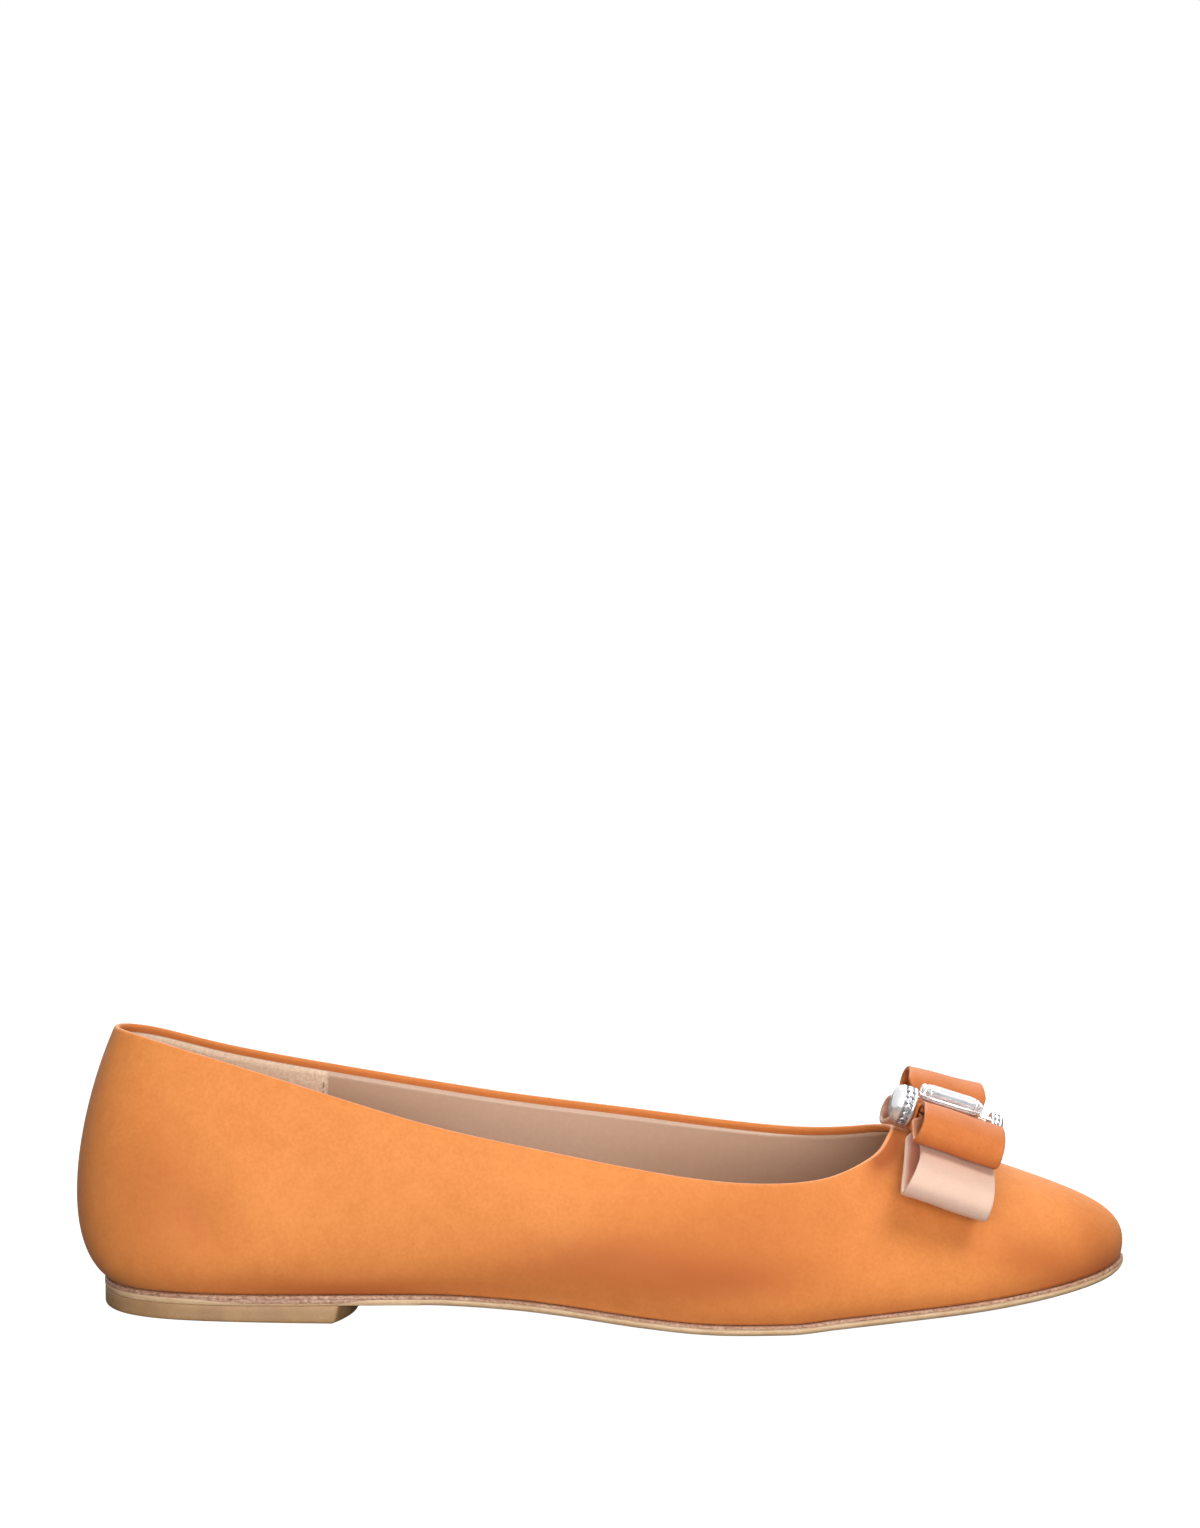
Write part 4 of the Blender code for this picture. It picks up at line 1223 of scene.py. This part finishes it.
def small_stone(sides=8):
    """Round brilliant of unit size: table, crown, girdle and the start of the pavilion."""
    rows = [(0.0, -0.55), (0.75, -0.25), (1.0, 0.0), (0.98, 0.08), (0.78, 0.30), (0.56, 0.40)]
    points = [(0, 0, rows[0][1])]
    for row, (radius, z) in enumerate(rows[1:]):
        turn0 = math.pi / sides * (row % 2)
        for k in range(sides):
            turn = turn0 + 2 * math.pi * k / sides
            points.append((radius * math.cos(turn), radius * math.sin(turn), z))
    faces = [(0, 1 + (k + 1) % sides, 1 + k) for k in range(sides)]
    for row in range(len(rows) - 2):
        a = 1 + row * sides
        b = a + sides
        for k in range(sides):
            j = (k + 1) % sides
            if row % 2 == 0:
                faces += [(a + k, a + j, b + k), (b + k, a + j, b + j)]
            else:
                faces += [(a + k, b + j, b + k), (a + k, a + j, b + j)]
    faces.append(tuple(1 + (len(rows) - 2) * sides + k for k in range(sides)))
    return np.array(points), faces


def small_bead(rings=5, sides=8):
    points = [(0, 0, 1.0)]
    for ring in range(1, rings):
        turn = math.pi * ring / rings
        for k in range(sides):
            angle = 2 * math.pi * k / sides
            wide = math.sin(turn)
            points.append((wide * math.cos(angle), wide * math.sin(angle), math.cos(turn)))
    points.append((0, 0, -1.0))
    faces = [(0, 1 + k, 1 + (k + 1) % sides) for k in range(sides)]
    for ring in range(rings - 2):
        a = 1 + ring * sides
        b = a + sides
        faces += [(a + k, b + k, b + (k + 1) % sides, a + (k + 1) % sides) for k in range(sides)]
    end = len(points) - 1
    a = end - sides
    faces += [(a + (k + 1) % sides, a + k, end) for k in range(sides)]
    return np.array(points), faces


def set_round(template, size, x, radius, count, first=0.0):
    """Copies of a small piece set round a cap, facing outwards."""
    points, faces = template
    parts = []
    for k in range(count):
        turn = first + 2 * math.pi * k / count
        out_way = np.array([0, math.cos(turn), math.sin(turn)])
        side_way = np.array([0, -math.sin(turn), math.cos(turn)])
        centre = np.array([x, 0, cap_centre]) + out_way * radius
        local = points * size
        placed = centre + local @ np.array([(1.0, 0.0, 0.0), side_way, out_way])
        parts.append((on_vamp(placed), faces))
    return parts


heel_middle = heel_face - HEEL_DRUM / 2
toe_middle = toe_face + TOE_DRUM / 2
seat = CAP_RADIUS - 0.00028
bead_seat = CAP_RADIUS - 0.00022
half_turn = math.pi / PAVE_STONES
stone_parts = {
    "heel": set_round(small_stone(), PAVE_SIZE, heel_middle, seat, PAVE_STONES),
    "toe": set_round(small_stone(), PAVE_SIZE * 0.8, toe_middle, seat, PAVE_STONES),
}
bead_parts = {}
for side, x, spread in (("heel", heel_middle, 0.00072), ("toe", toe_middle, 0.00052)):
    bead_parts[side] = []
    for shift in (-spread, spread):
        bead_parts[side] += set_round(small_bead(), BEAD_SIZE, x + shift, bead_seat, PAVE_STONES, half_turn)

white_metal, m, _ = mottled(
    "white_metal", 0.2, (246, 246, 247), ((226, 226, 230), 250.0, 2.0, 0.3, 0.7, 1.0), metallic=0.7
)
polish = m.noise(900.0, 4.0)
m.dress(Roughness=m.ranged(polish, 0.3, 0.7, 0.14, 0.26))
m.relief((polish, 0.12, 0.00005))

# The beads that hold the stones are painted grey, as painted shade in the gaps between the stones
gap_shade_metal, _, _ = mottled(
    "gap_shade_metal", 0.45, (124, 126, 130), ((92, 95, 100), 600.0, 2.0, 0.3, 0.7, 1.0), metallic=0.5
)

cut_glass, m = new_material("cut_glass", 0.02)
wear = m.ranged(m.noise(700.0, 3.0), 0.3, 0.7, 0.0, 0.04)
m.dress(Roughness=wear, Base_Color=(1.0, 1.0, 1.0, 1.0), Transmission_Weight=0.72, IOR=1.62)

# Small stones are backed with foil, so they give back light rather than let it through, and each
# facet is painted bright white or grey at random by the way it faces, as painted glints and dark reflections
foiled_glass, m = new_material("foiled_glass", 0.06, 0.45)
painted_glint = m.noise(4.0, 1.0, at=m.node("ShaderNodeNewGeometry").outputs["True Normal"])
painted_glint = m.between(m.ranged(painted_glint, 0.44, 0.60), colour(250, 250, 252), colour(112, 120, 130))
m.dress(Base_Color=painted_glint, IOR=1.62)

for side, cap, node in (("heel", heel_cap_mesh, "brooch_cap_heel"), ("toe", toe_cap_mesh, "brooch_cap_toe")):
    make_piece("cap_metal_" + side, cap, [white_metal], "brooch_metal", node)
    stones = joined(stone_parts[side])
    make_piece("cap_stones_" + side, stones, [foiled_glass], "cut_stone", smooth=False)
    make_piece("cap_beads_" + side, joined(bead_parts[side]), [gap_shade_metal], "brooch_metal")

# Setting: a low metal base above the knot, with a rail round the stone, two claws over each cut
# corner and a pair of small links to each cap.
STONE_LENGTH = 0.0150
STONE_WIDTH = 0.0080
STONE_CORNER = 0.0022
STONE_HEIGHT = 0.0030
STONE_MIDDLE = 0.0004
TRAY_BASE = knot_high[1] + KNOT_WALL + GAP
TRAY_HEIGHT = 0.0008
CLAW_RADIUS = 0.00038
CLAW_SHARE = 0.18
stone_base = TRAY_BASE + TRAY_HEIGHT + GAP


def eight_sided(grow, z):
    """The stone's outline with its corners cut, larger by grow all round."""
    half_l = STONE_LENGTH / 2 + grow
    half_w = STONE_WIDTH / 2 + grow
    corner = STONE_CORNER + 0.6 * grow
    end = (half_l, corner - half_w), (half_l, half_w - corner)
    half = *end, (half_l - corner, half_w), (corner - half_l, half_w)
    return [(STONE_MIDDLE + x * way, y * way, z) for way in (1, -1) for x, y in half]


def wire(path, radius, sides=10, closed=False):
    """Round wire along a path in the bow's own frame, its ends rounded off."""
    path = np.asarray(path, float)
    ahead = unit(np.gradient(path, axis=0))
    if closed:
        ahead = unit(np.roll(path, -1, axis=0) - np.roll(path, 1, axis=0))
    helper = np.array([0.31, 0.17, 0.93])
    side_way = unit(np.cross(ahead, helper))
    up_way = np.cross(ahead, side_way)
    count = len(path)
    radii = np.full(count, radius)
    if not closed:
        radii[0] = radii[-1] = radius * 0.35
    turns = np.linspace(0, 2 * math.pi, sides, endpoint=False)
    rings = np.array(
        [
            path[i] + radii[i] * (np.cos(turns)[:, None] * side_way[i] + np.sin(turns)[:, None] * up_way[i])
            for i in range(count)
        ]
    )
    if not closed:
        return capped(on_vamp(rings), turned=True)
    points, faces = tube(on_vamp(rings))
    return points, [face[::-1] for face in faces]


tray = [eight_sided(-0.0012, TRAY_BASE), eight_sided(0.0, TRAY_BASE + TRAY_HEIGHT)]
metal_parts = [capped(on_vamp(tray))]
rail = np.array(eight_sided(0.00005, stone_base + 0.0004))
part_way = np.linspace(0, 1, 6)[:-1, None]
rail_path = np.concatenate([rail[i] + (rail[(i + 1) % 8] - rail[i]) * part_way for i in range(8)])
metal_parts.append(wire(rail_path, 0.00030, closed=True))
girdle = np.array(eight_sided(0.00010, stone_base + STONE_HEIGHT * 0.5))
table_line = np.array(eight_sided(-0.0009, stone_base + STONE_HEIGHT * 0.80))
foot_line = np.array(eight_sided(-0.0003, TRAY_BASE + TRAY_HEIGHT * 0.5))
for corner in range(8):
    other = corner + (1 if corner in (1, 3, 5, 7) else -1)
    lines = (foot_line, girdle, table_line)
    a, b, c = (line[corner] + (line[other % 8] - line[corner]) * CLAW_SHARE for line in lines)
    bend = b + np.array([0, 0, STONE_HEIGHT * 0.18])
    over = bend + (c - bend) * 0.6 + np.array([0, 0, 0.0001])
    path = [a, a + (b - a) * 0.5, b, bend, over, c + np.array([0, 0, 0.00012])]
    metal_parts.append(wire(path, CLAW_RADIUS))
ends = (
    (heel_face - HEEL_DRUM * 0.2, STONE_MIDDLE - STONE_LENGTH / 2),
    (STONE_MIDDLE + STONE_LENGTH / 2, toe_face + TOE_DRUM * 0.2),
)
for start, end in ends:
    z = TRAY_BASE + TRAY_HEIGHT * 0.7
    for y in (-0.0011, 0.0011):
        metal_parts.append(wire([(start + (end - start) * t, y, z) for t in np.linspace(0, 1, 8)], 0.0003))
setting = make_piece("setting_metal", joined(metal_parts), [white_metal], "brooch_metal", "brooch_setting")
setting_smooth = [len(polygon.vertices) == 4 and polygon.area < 1e-6 for polygon in setting.data.polygons]
setting.data.polygons.foreach_set("use_smooth", setting_smooth)

# Stone: one long clear glass stone in a step cut, with its corners cut and a flat table.
# It lies on the bright base. The dark line along each long side, which a cut stone shows, is a
# painted dark reflection on that facet.
STONE_CUT = columns("""
inset height
0.0030 0.00
0.0018 0.17
0.0008 0.33
0.0000 0.48
0.0000 0.54
0.0005 0.72
0.0011 0.88
0.0018 1.00
""")
DARK_LAYER = 4
LONG_SIDES = (2, 6)
cut = [eight_sided(-inset, stone_base + STONE_HEIGHT * share) for inset, share in zip(*STONE_CUT.values())]
painted_dark_reflection, _, _ = mottled("painted_dark_reflection", 0.05, (78, 84, 90), ((120, 126, 132), 400.0, 2.0, 0.3, 0.7, 1.0))
finishes = [cut_glass, painted_dark_reflection]
stone = make_piece("long_stone", capped(on_vamp(cut)), finishes, "cut_stone", "brooch_stone", smooth=False)
for polygon in stone.data.polygons:
    layer, side = divmod(polygon.index, 8)
    polygon.material_index = int(layer == DARK_LAYER and side in LONG_SIDES)

# Floor and light: a wide sweep, four large soft lights, and a white room that shows only behind
# the shoe, in its gloss and through glass. The sweep glows white to the camera alone, as the
# photo's ground is white, and that glow doesn't fall on the shoe.
FLOOR_HALF = 14.0
FLOOR_WHITE = 0.15
WHITE = (1.0, 1.0, 1.0, 1.0)
corners = [(x * FLOOR_HALF, y * FLOOR_HALF, 0) for x, y in ((-1, -1), (1, -1), (1, 1), (-1, 1))]
floor_mesh = bpy.data.meshes.new("floor")
floor_mesh.from_pydata(corners, [], [(0, 1, 2, 3)])
floor = bpy.data.objects.new("floor", floor_mesh)
bpy.context.scene.collection.objects.link(floor)
floor.location.z = -0.0002
floor_paint, m = new_material("floor_paint", 0.95)
m.dress(Base_Color=(FLOOR_WHITE, FLOOR_WHITE, FLOOR_WHITE, 1), Specular_IOR_Level=0.0, Emission_Color=WHITE)
m.dress(Emission_Strength=m.node("ShaderNodeLightPath").outputs["Is Camera Ray"])
floor_mesh.materials.append(floor_paint)

scene = bpy.context.scene
world = bpy.data.worlds.new("studio")
scene.world = world
world.use_nodes = True
air = Tree(world.node_tree, world.node_tree.nodes["Background"])
paths = air.node("ShaderNodeLightPath").outputs
straight = air.maths("MAXIMUM", paths["Is Camera Ray"], paths["Is Transmission Ray"])
air.dress(Color=WHITE, Strength=air.maths("MAXIMUM", straight, paths["Is Glossy Ray"]))


LIGHT_AIM = Vector((0.0, 0.0, 0.03))


def soft_light(name, place, size, watts):
    data = bpy.data.lights.new(name, "AREA")
    data.shape = "RECTANGLE"
    data.size, data.size_y = size
    data.energy = watts
    light = bpy.data.objects.new(name, data)
    scene.collection.objects.link(light)
    light.location = place
    light.rotation_euler = (LIGHT_AIM - Vector(place)).to_track_quat("-Z", "Y").to_euler()


soft_light("front", (0.0, -1.5, 0.27), (0.9, 0.52), 20.0)
soft_light("heel side", (-0.575, -1.232, 0.634), (0.9, 0.9), 5.5)
soft_light("toe side", (0.614, -0.430, 1.299), (0.9, 0.9), 16.0)
soft_light("behind", (0.0, 1.061, 1.061), (0.9, 0.9), 20.0)

# Camera: a long lens, a little above the shoe and turned 4 degrees towards its heel. It stands
# where it sees the shoe from 11 degrees up, and looks up past the shoe, which lies low in the frame.
CAMERA_AZIMUTH = math.radians(-4.0)
CAMERA_ELEVATION = math.radians(11.0)
CAMERA_ROLL = math.radians(1.2)
CAMERA_DISTANCE = 1.5
CAMERA_LENS = 147.3
AIM_RIGHT = -0.0004
AIM_UP = 0.1296
back = Vector(
    (
        math.sin(CAMERA_AZIMUTH) * math.cos(CAMERA_ELEVATION),
        -math.cos(CAMERA_AZIMUTH) * math.cos(CAMERA_ELEVATION),
        math.sin(CAMERA_ELEVATION),
    )
)
level_right = Vector((math.cos(CAMERA_AZIMUTH), math.sin(CAMERA_AZIMUTH), 0))
level_up = back.cross(level_right)
right = level_right * math.cos(CAMERA_ROLL) + level_up * math.sin(CAMERA_ROLL)
up = level_up * math.cos(CAMERA_ROLL) - level_right * math.sin(CAMERA_ROLL)
camera_data = bpy.data.cameras.new("camera")
camera_data.sensor_width = 36.0
camera_data.lens = CAMERA_LENS
camera_data.clip_start = 0.05
camera_data.clip_end = 100.0
camera = bpy.data.objects.new("camera", camera_data)
scene.collection.objects.link(camera)
stand = back * CAMERA_DISTANCE
away = (stand - right * AIM_RIGHT - up * AIM_UP).normalized()
right = (right - away * right.dot(away)).normalized()
turned = Matrix((right, away.cross(right), away)).transposed().to_4x4()
turned.translation = stand
camera.matrix_world = turned
scene.camera = camera
scene.view_settings.view_transform = "Standard"
